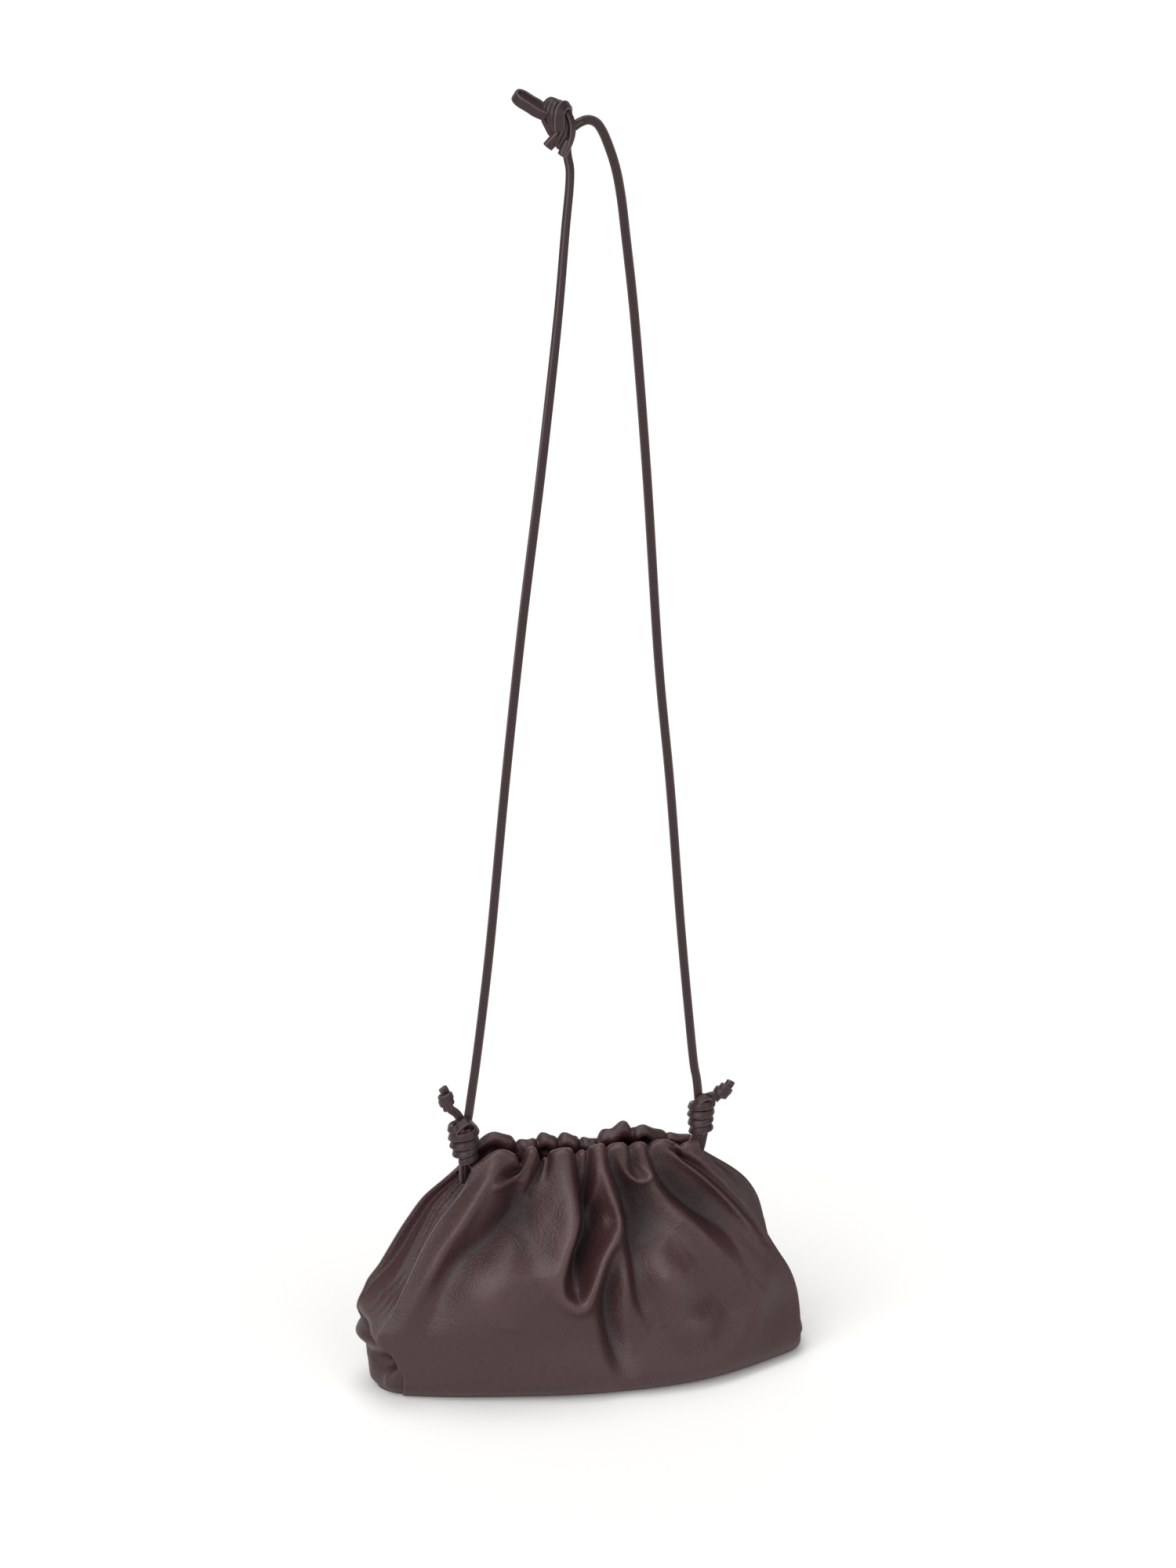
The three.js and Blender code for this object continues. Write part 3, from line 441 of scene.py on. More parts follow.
def stitchRow(name, lines, tree):
    points, edges, facings, start = [], [], [], 0
    for line, facing in lines:
        points.append(inFrame(line))
        edges += [(start + i, start + i + 1) for i in range(len(line) - 1)]
        facings.append(np.broadcast_to(facing, line.shape))
        start += len(line)
    mesh = bpy.data.meshes.new(name)
    mesh.from_pydata(np.vstack(points).tolist(), edges, [])
    facing = mesh.attributes.new("facing", "FLOAT_VECTOR", "POINT")
    facing.data.foreach_set("vector", np.vstack(facings).ravel())
    row = addObject(name, mesh)
    steps = row.modifiers.new("stitches", "NODES")
    steps.node_group = tree
    named = {item.name: item.identifier for item in tree.interface.items_tree if item.in_out == "INPUT"}
    steps[named["Thread"]] = threadSkin
    steps[named["Wobble"]] = strap["stitchWobble"]
    for key, size in strap["stitches"].items():
        steps[named[key]] = size / 1000
    solid = bpy.data.meshes.new_from_object(row.evaluated_get(bpy.context.evaluated_depsgraph_get()))
    row.modifiers.remove(steps)
    row.data = solid
    smoothShade(solid)
    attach(row, "root")
    return row


def makeStrand(side, tree):
    route = smoothRoute(strap[side]["route"], strap["step"])
    faces = strap[side]["faces"]
    turn = np.radians(np.interp(route[:, 2], faces["at"], faces["turn"]))
    facing = np.stack([np.sin(turn), -np.cos(turn), np.zeros(len(turn))], 1)
    section = flatSection(strap["width"], strap["thick"], strap["groove"], strap["edgeLine"])
    band = sweep(route, facing, section)
    strand = makePiece(side + "Strand", [band], "cord_leather", side + "_strand")
    along = unit(np.gradient(route, axis=0))
    out = unit(facing - along * (facing * along).sum(1, keepdims=True))
    height = strap["thick"] / 2 - strap["groove"] * 0.75
    lines = [(route + out * height, out), (route - out * height, -out)]
    stitches = stitchRow(side + "Stitches", lines, tree)
    print(side, "strand", round(routeLength(route)), "mm")


stitches = stitchRowTree()
makeStrand("left", stitches)
makeStrand("right", stitches)
print("strands ready")


pouch = {
    "height": 124, "rimEndDrop": 7, "rimRise": 4, "halfWidth": 113, "halfDepth": 40, "endHalfDepth": 21,
    "roundness": 2.2, "wall": 2, "thinnest": 1.2, "lobeWall": 3.6, "puff": 1.3, "lobePuff": 2.2, "seam": 0.3,
    "footRound": 5, "leftTuck": 4.5, "rightTuck": 10, "leftBulge": 13, "rightBulge": 6, "wrinkles": 70,
    "columns": 240, "rows": (56, 76), "fineFrom": 0.6, "curlSteps": 9,  # the rows lie closer above fineFrom
    # shares of the half width to each side, of the half depth and of the ends' half depth, going up
    "sections": {
        "at": [0, 0.05, 0.12, 0.22, 0.3, 0.4, 0.5, 0.6, 0.7, 0.8, 0.88, 0.94, 1],
        "left": [0.885, 0.895, 0.9, 0.945, 1.012, 0.945, 0.89, 0.835, 0.775, 0.7, 0.62, 0.565, 0.535],
        "right": [0.96, 0.985, 0.995, 1, 0.99, 0.955, 0.895, 0.835, 0.76, 0.675, 0.605, 0.565, 0.54],
        "middle": [0.8, 0.92, 0.98, 1, 1, 0.96, 0.89, 0.79, 0.67, 0.54, 0.44, 0.385, 0.36],
        "ends": [0.7, 0.78, 0.85, 0.92, 0.95, 0.92, 0.86, 0.78, 0.68, 0.58, 0.49, 0.44, 0.42]},
    # how far the foot slides forward, from left to right
    "footSlide": {"at": [-1, -0.5, 0, 0.5, 1], "slide": [0.14, 0.19, 0.34, 0.43, 0.3]},
    # how much further the back panel goes, going up
    "backSpread": {
        "at": [0, 0.12, 0.22, 0.3, 0.42, 0.5, 0.7, 0.85, 1],
        "left": [0.05, 0.07, 0.03, 0.01, 0.04, 0.02, 0.01, 0.02, 0],
        "right": [0, 0, 0, 0, 0.02, 0.05, 0.1, 0.06, 0],
        "ends": [0, 0, 0.05, 0.1, 0.15, 0.2, 0.3, 0.25, 0]},
    # where the ends are tucked in and where they bulge, going up
    "gussetBow": {
        "at": [0, 0.06, 0.14, 0.24, 0.3, 0.36, 0.5, 0.7, 0.82, 0.9],
        "tuck": [0, 0, 0, 0, 0.1, 0.5, 1, 0.8, 0.25, 0],
        "bulge": [0.5, 0.55, 0.55, 0.5, 0.2, 0, 0, 0, 0, 0]},
    # each rim from left to right: its rise, its thickness, the seed of its wrinkles, the dips between its
    # lobes (share across, depth and width in mm) and the hollows in its curled inner side (share across,
    # share up, depth, width and height in mm)
    "frontRim": {
        "at": [-1, -0.78, -0.6, -0.5, -0.4, -0.22, -0.06, 0.1, 0.28, 0.47, 0.7, 0.86, 1],
        "rise": [0, 1.2, 0, 0.8, -0.2, 0.1, -0.4, 0.1, -0.1, -0.3, -0.1, -0.4, 0.2], "wall": 4.4, "seed": 3,
        "notches": [(-0.59, 3.8, 1.5), (-0.405, 3.4, 1.3), (-0.355, 2, 1), (-0.1, 2, 1.3), (0.0, 1.4, 1),
                    (0.175, 2, 1.4), (0.385, 1.6, 1.3), (0.565, 2.2, 1.4), (0.84, 2, 1.4)],
        "pits": []},
    "backRim": {
        "at": [-1, -0.9, -0.75, -0.62, -0.46, -0.3, -0.2, -0.07, 0.03, 0.11, 0.2, 0.3, 0.4, 0.5, 0.6, 0.72,
               0.88, 1],
        "rise": [0.2, 1, 1.8, 1.2, 0.2, 0.6, 0.3, 0.3, -0.2, -0.7, -0.3, 0.2, 0.8, 0.5, 0.7, -0.4, -0.9,
                 -0.4], "wall": 3.6, "seed": 8,
        "notches": [(-0.545, 3, 1.4), (-0.36, 2.6, 1.3), (-0.17, 2.4, 1.2), (0.027, 2.4, 1.2),
                    (0.184, 2.6, 1.3), (0.484, 2, 1.1), (0.8, 1.2, 1)],
        "pits": [(-0.7, 0.95, 4.5, 4.5, 3), (-0.27, 0.955, 4, 3, 3), (0.56, 0.955, 4.5, 3.2, 3.4),
                 (-0.09, 0.96, 2.5, 3, 2), (0.34, 0.95, 3, 4, 3), (0.1, 0.965, 2.5, 2, 2)]},
}


def fold(left, right, sharp, *path, lean=0):  # its width to each side in mm, how sharp it is, and its path
    return {"left": left, "right": right, "sharp": sharp, "path": path, "lean": lean}


# The places along a fold: share across, share up, height out of the skin in mm
frontFolds = [
    # lobes between the gathers
    fold(9, 8, 2, (-0.77, 1, 1.5), (-0.8, 0.93, 3), (-0.84, 0.8, 3), (-0.9, 0.6, 1.5)),
    fold(5, 4.4, 2, (-0.5, 1, 2.4), (-0.49, 0.94, 3), (-0.478, 0.87, 1.4)),
    fold(8, 6, 2, (-0.24, 1, 2), (-0.215, 0.9, 4), (-0.185, 0.8, 5.6), (-0.185, 0.72, 6.6),
         (-0.215, 0.64, 6.6), (-0.26, 0.57, 5), (-0.3, 0.5, 2.6), (-0.33, 0.42, 0.8)),
    fold(9, 8, 2, (-0.43, 0.9, -2.6), (-0.43, 0.8, -5.4), (-0.415, 0.7, -5), (-0.39, 0.61, -2.4),
         (-0.37, 0.54, -0.6)),
    fold(2.6, 2.6, 2, (-0.055, 1, 1.4), (-0.05, 0.92, 1.4), (-0.055, 0.82, 0.6)),
    fold(5.5, 5.5, 2, (0.085, 1, 2), (0.085, 0.9, 3), (0.09, 0.8, 2.4)),
    fold(6, 6, 2, (0.28, 1, 2), (0.285, 0.93, 2.6), (0.3, 0.8, 2)),
    fold(5, 5, 2, (0.475, 1, 2.2), (0.475, 0.92, 2.6), (0.48, 0.82, 2)),
    fold(8, 8, 2, (0.7, 1, 1.6), (0.72, 0.95, 2.4), (0.8, 0.86, 2)),
    fold(5, 5, 2, (0.92, 1, 1), (0.94, 0.96, 1.6)),
    # left slit and its lip
    fold(2, 2.2, 1.7, (-0.58, 1, -3.4), (-0.608, 0.968, -5.2), (-0.645, 0.946, -5.6),
         (-0.685, 0.925, -3.6), (-0.71, 0.905, -1)),
    fold(2.4, 2.6, 1.8, (-0.57, 0.95, 1), (-0.62, 0.925, 2.2), (-0.67, 0.898, 3), (-0.715, 0.89, 2.6),
         (-0.745, 0.905, 0.8)),
    # valley under the second lobe, falling to the left flank
    fold(7, 9, 1.8, (-0.55, 0.9, -3), (-0.54, 0.85, -6.6), (-0.535, 0.79, -9), (-0.6, 0.725, -9),
         (-0.67, 0.67, -8), (-0.745, 0.63, -6.6), (-0.79, 0.57, -5.2), (-0.805, 0.48, -4.2),
         (-0.8, 0.4, -2.6), (-0.79, 0.32, -1)),
    fold(7, 6, 2, (-0.8, 0.94, 1.6), (-0.85, 0.83, 5), (-0.9, 0.71, 6.5), (-0.925, 0.58, 6.5),
         (-0.94, 0.45, 4.4), (-0.94, 0.34, 1.4)),
    fold(20, 17, 2, (-0.37, 0.66, 2.6), (-0.42, 0.59, 7), (-0.49, 0.52, 9.4), (-0.55, 0.45, 9.2),
         (-0.58, 0.37, 5.4), (-0.57, 0.28, 1.6)),
    # curl and small pocket
    fold(2, 2, 1.6, (-0.405, 1, -5), (-0.42, 0.95, -4.6), (-0.45, 0.85, -2.4)),
    fold(1.8, 1.8, 1.6, (-0.355, 1, -3.4), (-0.352, 0.965, -3), (-0.36, 0.92, -1)),
    # the U ridge round the deep pocket
    fold(6, 3.4, 1.8, (-0.17, 1, 2), (-0.14, 0.93, 3.8), (-0.125, 0.85, 5), (-0.13, 0.72, 6),
         (-0.175, 0.61, 6.4), (-0.218, 0.52, 6.4), (-0.2, 0.45, 6), (-0.11, 0.405, 6.4),
         (-0.05, 0.475, 7), (0.02, 0.59, 8), (0.075, 0.65, 8.4), (0.145, 0.715, 7.4), (0.125, 0.805, 5.6),
         (0.1, 0.9, 3.4), (0.09, 0.97, 1.6)),
    fold(4.8, 5.6, 2, (-0.085, 1, -4.4), (-0.072, 0.91, -6), (-0.045, 0.82, -8.4), (-0.026, 0.74, -12),
         (-0.07, 0.665, -12), (-0.112, 0.605, -12.6), (-0.132, 0.54, -8), (-0.12, 0.47, -2.4)),
    fold(2, 2, 1.6, (0.01, 0.98, 0.8), (0.035, 0.9, 2.4), (0.01, 0.84, 3), (-0.02, 0.78, 2.8),
         (-0.03, 0.7, 1.4)),
    fold(1.8, 1.8, 1.6, (0, 1, -2.4), (-0.005, 0.92, -2.8), (-0.04, 0.8, -2.4), (-0.05, 0.72, -1)),
    # steep step and the broad hollow right of it
    fold(3.4, 9, 1.9, (0.17, 1, -4.4), (0.178, 0.93, -6), (0.21, 0.87, -8.4), (0.232, 0.81, -11.4),
         (0.215, 0.74, -11), (0.203, 0.66, -8.6), (0.198, 0.56, -6.4), (0.19, 0.47, -5.4),
         (0.195, 0.37, -4.4), (0.24, 0.26, -1.6), lean=0.1),
    fold(5, 7, 1.9, (0.13, 0.63, -1.6), (0.08, 0.56, -5.6), (0.04, 0.46, -8), (0.03, 0.34, -7.6),
         (0.045, 0.25, -6.2), (0.06, 0.17, -4.4), (0.08, 0.1, -2.4), (0.1, 0.04, -0.6)),
    fold(6, 4, 1.9, (0.13, 0.62, 2), (0.12, 0.48, 3), (0.1, 0.34, 2.4), (0.12, 0.22, 1)),
    # draped U near the rim
    fold(3.4, 3.4, 1.8, (0.385, 1, -3.6), (0.39, 0.93, -4), (0.4, 0.885, -2)),
    fold(2.6, 2.6, 1.7, (0.25, 0.97, 0.6), (0.28, 0.9, 2.4), (0.38, 0.85, 4), (0.455, 0.87, 3.2),
         (0.51, 0.93, 1)),
    fold(13, 13, 2, (0.31, 0.86, -3), (0.335, 0.78, -8), (0.37, 0.7, -8.4), (0.43, 0.63, -3.4)),
    # long valley to the right
    fold(5, 14, 1.9, (0.545, 1, -4.8), (0.56, 0.9, -7.4), (0.58, 0.82, -10.4), (0.63, 0.75, -11.4),
         (0.71, 0.68, -10.6), (0.77, 0.61, -8.4), (0.785, 0.52, -4.8), (0.79, 0.42, -1.6), lean=0.1),
    fold(10, 4, 1.9, (0.49, 0.86, 1.6), (0.55, 0.74, 4.4), (0.6, 0.63, 5), (0.68, 0.5, 2.6),
         (0.72, 0.4, 1)),
    # edge crease and its flap
    fold(2.8, 4, 1.8, (0.66, 0.98, 1.2), (0.745, 0.945, 3.8), (0.855, 0.868, 5.4), (0.905, 0.75, 6),
         (0.92, 0.63, 5), (0.92, 0.52, 2)),
    fold(2.4, 2.6, 1.7, (0.74, 0.985, -2), (0.81, 0.955, -4.4), (0.905, 0.885, -6), (0.95, 0.77, -6),
         (0.965, 0.64, -5), (0.965, 0.54, -2)),
    fold(2.4, 2.4, 1.7, (0.79, 1, -2.4), (0.8, 0.965, -3.4), (0.805, 0.925, -1.4)),
    fold(3, 3, 1.8, (0.86, 0.985, 1), (0.92, 0.955, 2.4), (1, 0.92, 2.2)),
    # low soft swells
    fold(10, 10, 2, (0.88, 0.44, 1), (0.82, 0.34, 3), (0.72, 0.24, 3.6), (0.6, 0.15, 2.8),
         (0.42, 0.07, 1)),
    fold(11, 9, 2, (0.27, 0.32, 2), (0.34, 0.285, 5.4), (0.43, 0.265, 7), (0.51, 0.285, 4.4),
         (0.58, 0.33, 1.4)),
    fold(13, 14, 2, (0.34, 0.62, 1), (0.35, 0.56, 5), (0.365, 0.48, 9), (0.385, 0.4, 6.6),
         (0.42, 0.32, 2)),
    fold(9, 9, 2, (0.76, 0.66, 2), (0.8, 0.53, 5), (0.85, 0.42, 2)),
    fold(12, 12, 2, (-0.4, 0.3, 0.8), (-0.3, 0.2, 1.8), (-0.1, 0.16, 0.8)),
    fold(12, 10, 2, (0.56, 0.44, -0.8), (0.6, 0.32, -2.4), (0.52, 0.2, -1)),
]
backFolds = [
    # valleys between the gathers
    fold(6, 6, 1.8, (-0.43, 1, -3.4), (-0.44, 0.85, -5), (-0.5, 0.66, -2.6)),
    fold(5, 8, 1.8, (-0.23, 1, -4), (-0.22, 0.8, -7), (-0.28, 0.6, -5), (-0.3, 0.42, -1.6)),
    fold(4.4, 4.4, 1.7, (-0.04, 1, -3.4), (-0.05, 0.86, -4.8), (-0.03, 0.72, -2.4)),
    fold(9, 4.4, 1.8, (0.14, 1, -4), (0.13, 0.8, -7.6), (0.16, 0.6, -6), (0.12, 0.38, -2)),
    fold(4.4, 6, 1.8, (0.31, 1, -3.4), (0.33, 0.84, -5), (0.38, 0.7, -2.4)),
    fold(3, 3, 1.6, (0.52, 1, -2), (0.53, 0.92, -1.8), (0.54, 0.84, -0.6)),
    fold(8, 5, 1.8, (0.62, 1, -3.8), (0.63, 0.84, -6.2), (0.72, 0.62, -4.4), (0.8, 0.44, -1.6)),
    fold(6, 8, 1.8, (-0.64, 0.98, -3), (-0.66, 0.84, -4.6), (-0.76, 0.6, -3.6), (-0.84, 0.42, -1)),
    # swells and ridges between them
    fold(10, 10, 2, (-0.55, 0.82, 2.4), (-0.62, 0.6, 5), (-0.66, 0.42, 2.4)),
    fold(6, 6, 1.9, (-0.12, 0.94, 1.4), (-0.13, 0.78, 4), (-0.16, 0.62, 4.2), (-0.18, 0.47, 1.6)),
    fold(8, 7, 2, (0.05, 0.9, 1.2), (0.045, 0.74, 3.2), (0.02, 0.58, 3.4), (0, 0.42, 1.4)),
    fold(9, 9, 2, (0.24, 0.86, 2.2), (0.28, 0.64, 4.8), (0.36, 0.42, 2.4)),
    fold(10, 10, 2, (0.8, 0.82, 2), (0.88, 0.62, 4), (0.9, 0.44, 1.6)),
    fold(2.6, 2.6, 1.7, (-0.41, 0.95, 0.8), (-0.33, 0.87, 3.2), (-0.25, 0.92, 0.8)),
    fold(2.6, 2.6, 1.7, (0.35, 0.95, 0.8), (0.44, 0.88, 3.2), (0.6, 0.94, 0.8)),
    fold(12, 12, 2, (-0.5, 0.27, 0.8), (-0.2, 0.18, 2.4), (0.2, 0.2, 2), (0.5, 0.3, 0.8)),
    fold(9, 9, 2, (-0.86, 0.9, 2), (-0.9, 0.7, 3.6), (-0.92, 0.5, 1.4)),
    fold(12, 12, 2, (-0.3, 0.4, -0.8), (-0.45, 0.3, -2.4), (-0.62, 0.22, -0.8)),
]


def smallWrinkles(count, seed):  # faint creases of worn leather, most of them near the gathers
    random = np.random.default_rng(seed)
    wrinkles = []
    for _ in range(count):
        across, up = random.uniform(-0.95, 0.95), 1 - abs(random.normal(0, 0.38))
        length, way = random.uniform(0.06, 0.2), random.normal(0, 0.07)
        rise, wide = random.choice([-1, 1]) * random.uniform(0.1, 0.3), random.uniform(1.6, 3.6)
        if up < 0.12:
            continue
        path = [(across + way * k * (1 + 0.3 * k), up - length * k,
                 rise * math.sin(math.pi * (0.15 + 0.7 * k))) for k in (0, 0.35, 0.7, 1)]
        wrinkles.append(fold(wide, wide * random.uniform(0.8, 1.6), 1.8, *path))
    return wrinkles


def halfWidthAt(across, up, side):
    spread = 1 if side > 0 else 0
    left = curveAt(pouch["sections"], "left", up) + spread * curveAt(pouch["backSpread"], "left", up)
    right = curveAt(pouch["sections"], "right", up) + spread * curveAt(pouch["backSpread"], "right", up)
    return pouch["halfWidth"] * np.where(np.asarray(across) < 0, left, right)


def smoothPlace(across, up, side):  # the panel before it is folded: side -1 in front, 1 at the back
    across, up = np.broadcast_arrays(np.asarray(across, float), np.asarray(up, float))
    middle = pouch["halfDepth"] * curveAt(pouch["sections"], "middle", up)
    spread = curveAt(pouch["backSpread"], "ends", up) if side > 0 else 0
    end = pouch["endHalfDepth"] * (curveAt(pouch["sections"], "ends", up) + spread)
    nearGround = 1 - ease(0, 0.3, up) if side < 0 else 0
    slide = pouch["halfDepth"] * curveAt(pouch["footSlide"], "slide", across) * nearGround
    rounded = pouch["footRound"] * (1 - ease(0, 0.075, up) ** 0.5)
    y = side * (end + (middle - end) * (1 - np.abs(across) ** pouch["roundness"]) + slide - rounded)
    rim = curveAt(pouch["frontRim" if side < 0 else "backRim"], "rise", across)
    plain = pouch["height"] - pouch["rimEndDrop"] * np.abs(across) ** 4
    z = up * plain + pouch["rimRise"] * rim * ease(0.75, 1, up)
    return np.stack([across * halfWidthAt(across, up, side), y, z], -1)


def outward(across, up, side):
    step = 0.01
    a, u = np.clip(across, -0.98, 0.98), np.clip(up, 0.02, 0.72)
    along = smoothPlace(a + step, u, side) - smoothPlace(a - step, u, side)
    climb = smoothPlace(a, u + step, side) - smoothPlace(a, u - step, side)
    normal = unit(np.cross(along, climb) * -side)
    normal[..., 2] *= ease(0.04, 0.3, up) * 0.8
    share = (np.abs(across) ** 6)[..., None]
    return unit(normal * (1 - share) + np.array([0, side, 0]) * share)


def foldHeights(folds, across, up, flatten):  # height out of the skin and sideways lean at each place
    px, py = flatten(across, up)
    rise, lean = np.zeros(px.shape), np.zeros(px.shape)
    for each in folds:
        path = np.array(each["path"], float)
        line = smoothRoute(np.stack([*flatten(path[:, 0], np.clip(path[:, 1], 0, 1)), path[:, 2]], 1), 2.5)
        reach = 3 * max(each["left"], each["right"])
        near = ((px > line[:, 0].min() - reach) & (px < line[:, 0].max() + reach)
                & (py > line[:, 1].min() - reach) & (py < line[:, 1].max() + reach))
        if not near.any():
            continue
        x, y = px[near][:, None], py[near][:, None]
        ax, ay, ah = line[:-1].T
        dx, dy, dh = np.diff(line, axis=0).T
        t = np.clip(((x - ax) * dx + (y - ay) * dy) / np.maximum(dx * dx + dy * dy, 1e-9), 0, 1)
        away = np.hypot(x - ax - t * dx, y - ay - t * dy)
        best = away.argmin(1)
        pick = (np.arange(len(best)), best)
        turn = (dx[best] * (y[:, 0] - ay[best]) - dy[best] * (x[:, 0] - ax[best])) / np.hypot(dx, dy)[best]
        width = each["left"] + (each["right"] - each["left"]) * ease(-1.5, 1.5, turn)
        height = (ah[best] + t[pick] * dh[best]) * np.exp(-((away[pick] / width) ** each["sharp"]))
        rise[near] += height
        lean[near] += each["lean"] * np.abs(height)
    return rise, lean


def rimDips(notches, across, side):  # how far the rim dips, and how full the lobes are between
    flat = across * halfWidthAt(across, np.ones_like(across), side)
    dip, full = np.zeros(across.shape), np.ones(across.shape)
    for place, depth, wide in notches:
        at = place * halfWidthAt(np.array(place), np.array(1.0), side)
        cusp = np.exp(-((np.abs(flat - at) / wide) ** 1.1))
        dip += depth * cusp
        full *= 1 - min(depth / 5, 1) * np.exp(-((flat - at) / (wide * 1.6)) ** 2)
    return dip, full


def makePanel(name, side, folds, node):
    rim = pouch["frontRim" if side < 0 else "backRim"]
    folds = folds + smallWrinkles(pouch["wrinkles"], rim["seed"])
    across = np.linspace(-1, 1, pouch["columns"])
    low, high = pouch["rows"]
    up = np.concatenate([np.linspace(0, pouch["fineFrom"], low, endpoint=False),
                         np.linspace(pouch["fineFrom"], 1, high)])
    a, u = np.meshgrid(across, up)
    rise, lean = foldHeights(folds, a, u, lambda p, q: (p * halfWidthAt(p, q, side), q * pouch["height"]))
    held = ease(0, 0.08, u) * (1 - 0.8 * np.abs(a) ** 8)
    dip, full = rimDips(rim["notches"], across, side)
    rise = rise * held
    out = outward(a, u, side)
    skin = smoothPlace(a, u, side) + out * rise[..., None]
    skin[..., 0] += lean * held
    skin[..., 2] += 0.3 * np.minimum(rise, 0) * ease(0.85, 1, u) - dip * ease(0.93, 1, u)
    rimWall = (rim["wall"] + pouch["lobeWall"] * full) * (1 - 0.45 * np.abs(across) ** 3)
    wall = pouch["wall"] + (rimWall - pouch["wall"]) * ease(0.87, 0.985, u)
    for place, height, deep, wide, tall in rim["pits"]:
        flatAway = (a - place) * halfWidthAt(a, u, side) / wide
        wall = wall - deep * np.exp(-(flatAway**2) - ((u - height) * pouch["height"] / tall) ** 2)
    wall = np.maximum(wall, pouch["thinnest"])
    inner = skin - out * wall[..., None]
    rings = np.concatenate([skin, inner[:, ::-1]], 1)
    rows, around = rings.shape[:2]
    columns = pouch["columns"]
    c = np.arange(columns - 1)
    faces = [ringFaces(rows, around), np.stack([c, 2 * columns - 1 - c, 2 * columns - 2 - c, c + 1], 1)]
    turn = np.linspace(0, np.pi, pouch["curlSteps"])[1:-1]  # the rim curls over to the inner side
    top, back = skin[-1], inner[-1]
    middle, half = (top + back) / 2, (top - back) / 2
    puff = pouch["puff"] + pouch["lobePuff"] * full * (1 - 0.5 * np.abs(across) ** 3)
    roll = middle[None] + half[None] * np.cos(turn)[:, None, None]
    roll[..., 2] += puff[None] * np.sin(turn)[:, None]
    start = rows * around
    grid = np.concatenate([[(rows - 1) * around + np.arange(columns)],
                           start + np.arange(roll.shape[0] * columns).reshape(-1, columns),
                           [(rows - 1) * around + 2 * columns - 1 - np.arange(columns)]])
    faces.append(np.stack([grid[:-1, :-1], grid[:-1, 1:], grid[1:, 1:], grid[1:, :-1]], -1).reshape(-1, 4))
    caps = [list(grid[:, 0]), list(grid[::-1, -1])]
    points = np.vstack([rings.reshape(-1, 3), roll.reshape(-1, 3)])
    stand = np.concatenate([rise, rise[:, ::-1]], 1).ravel()
    stand = np.concatenate([stand, np.tile(rise[-1], roll.shape[0])])
    part = {"points": points, "faces": np.vstack(faces), "caps": caps, "stand": stand}
    makePiece(name, [part], "body_leather", node)


makePanel("frontPanel", -1, frontFolds, "front_panel")
makePanel("backPanel", 1, backFolds, "back_panel")
print("panels ready")


gusset = {
    "wall": 2.6, "columns": 110, "rows": 130, "top": 0.93,
    # pleats from the front to the back: share of the depth, height in mm and width as a share
    "pleats": {"left": [(0.1, 3.4, 0.045), (0.26, 4.2, 0.05), (0.44, 4.6, 0.05), (0.63, 4, 0.055)],
               "right": [(0.2, 2.6, 0.05), (0.45, 3, 0.055), (0.72, 2.8, 0.06)]},
    # creases of the foot: share back, share up, height in mm
    "leftFolds": [
        fold(2.2, 2.2, 1.6, (0.1, 0.27, -2), (0.45, 0.295, -4.4), (0.95, 0.285, -3.4)),
        fold(3, 3, 1.8, (0.15, 0.235, 1), (0.5, 0.25, 2.6), (0.98, 0.24, 2.4)),
        fold(4.5, 4, 1.8, (0, 0.19, -6), (0.12, 0.17, -8), (0.3, 0.16, -5), (0.55, 0.17, -2)),
        fold(4, 4, 1.8, (0.02, 0.14, 1.6), (0.1, 0.09, 3.4), (0.13, 0.03, 2.6)),
        fold(9, 9, 2, (0.5, 0.12, 1), (0.52, 0.05, 1.6))],
    "rightFolds": [
        fold(2, 2, 1.6, (0.1, 0.15, -1.6), (0.5, 0.145, -2.8), (0.9, 0.15, -2)),
        fold(2.6, 2.6, 1.8, (0.04, 0.105, 1.4), (0.4, 0.1, 2.4), (0.9, 0.105, 1.6))],
}


def gussetDepth(end, up):  # from the front panel to the back one
    across = np.full(np.shape(up), float(end))
    return smoothPlace(across, up, 1)[..., 1] - smoothPlace(across, up, -1)[..., 1]


def gussetPlace(end, share, up, depth):
    across = np.full(np.shape(share), float(end))
    front, back = smoothPlace(across, up, -1), smoothPlace(across, up, 1)
    near, far = front[..., 1] + pouch["wall"] + pouch["seam"], back[..., 1] - pouch["wall"] - pouch["seam"]
    bow = np.sin(np.pi * np.clip(share, 0, 1))
    name = "left" if end < 0 else "right"
    bulge = pouch[name + "Bulge"] * curveAt(pouch["gussetBow"], "bulge", up)
    tuck = pouch[name + "Tuck"] * curveAt(pouch["gussetBow"], "tuck", up) - bulge
    pleats = np.zeros(np.shape(share))
    for place, height, wide in gusset["pleats"][name]:
        bent = place + 0.06 * np.sin(np.pi * up) * (place - 0.5)
        pleats += height * (np.exp(-((np.abs(share - bent) / wide) ** 1.5)) - 0.3)
    pleats = pleats * ease(0, 0.12, bow) * ease(0.32, 0.6, up)
    creases, _ = foldHeights(gusset[name + "Folds"], share, up,
                             lambda p, q: (p * gussetDepth(end, q), q * pouch["height"]))
    creases = creases * ease(0, 0.05, up) * ease(0, 0.15, bow)
    place = front + (back - front) * share[..., None]
    place[..., 0] -= end * (tuck * bow**0.7 - pleats - creases + depth)
    place[..., 1] = near + (far - near) * share
    return place


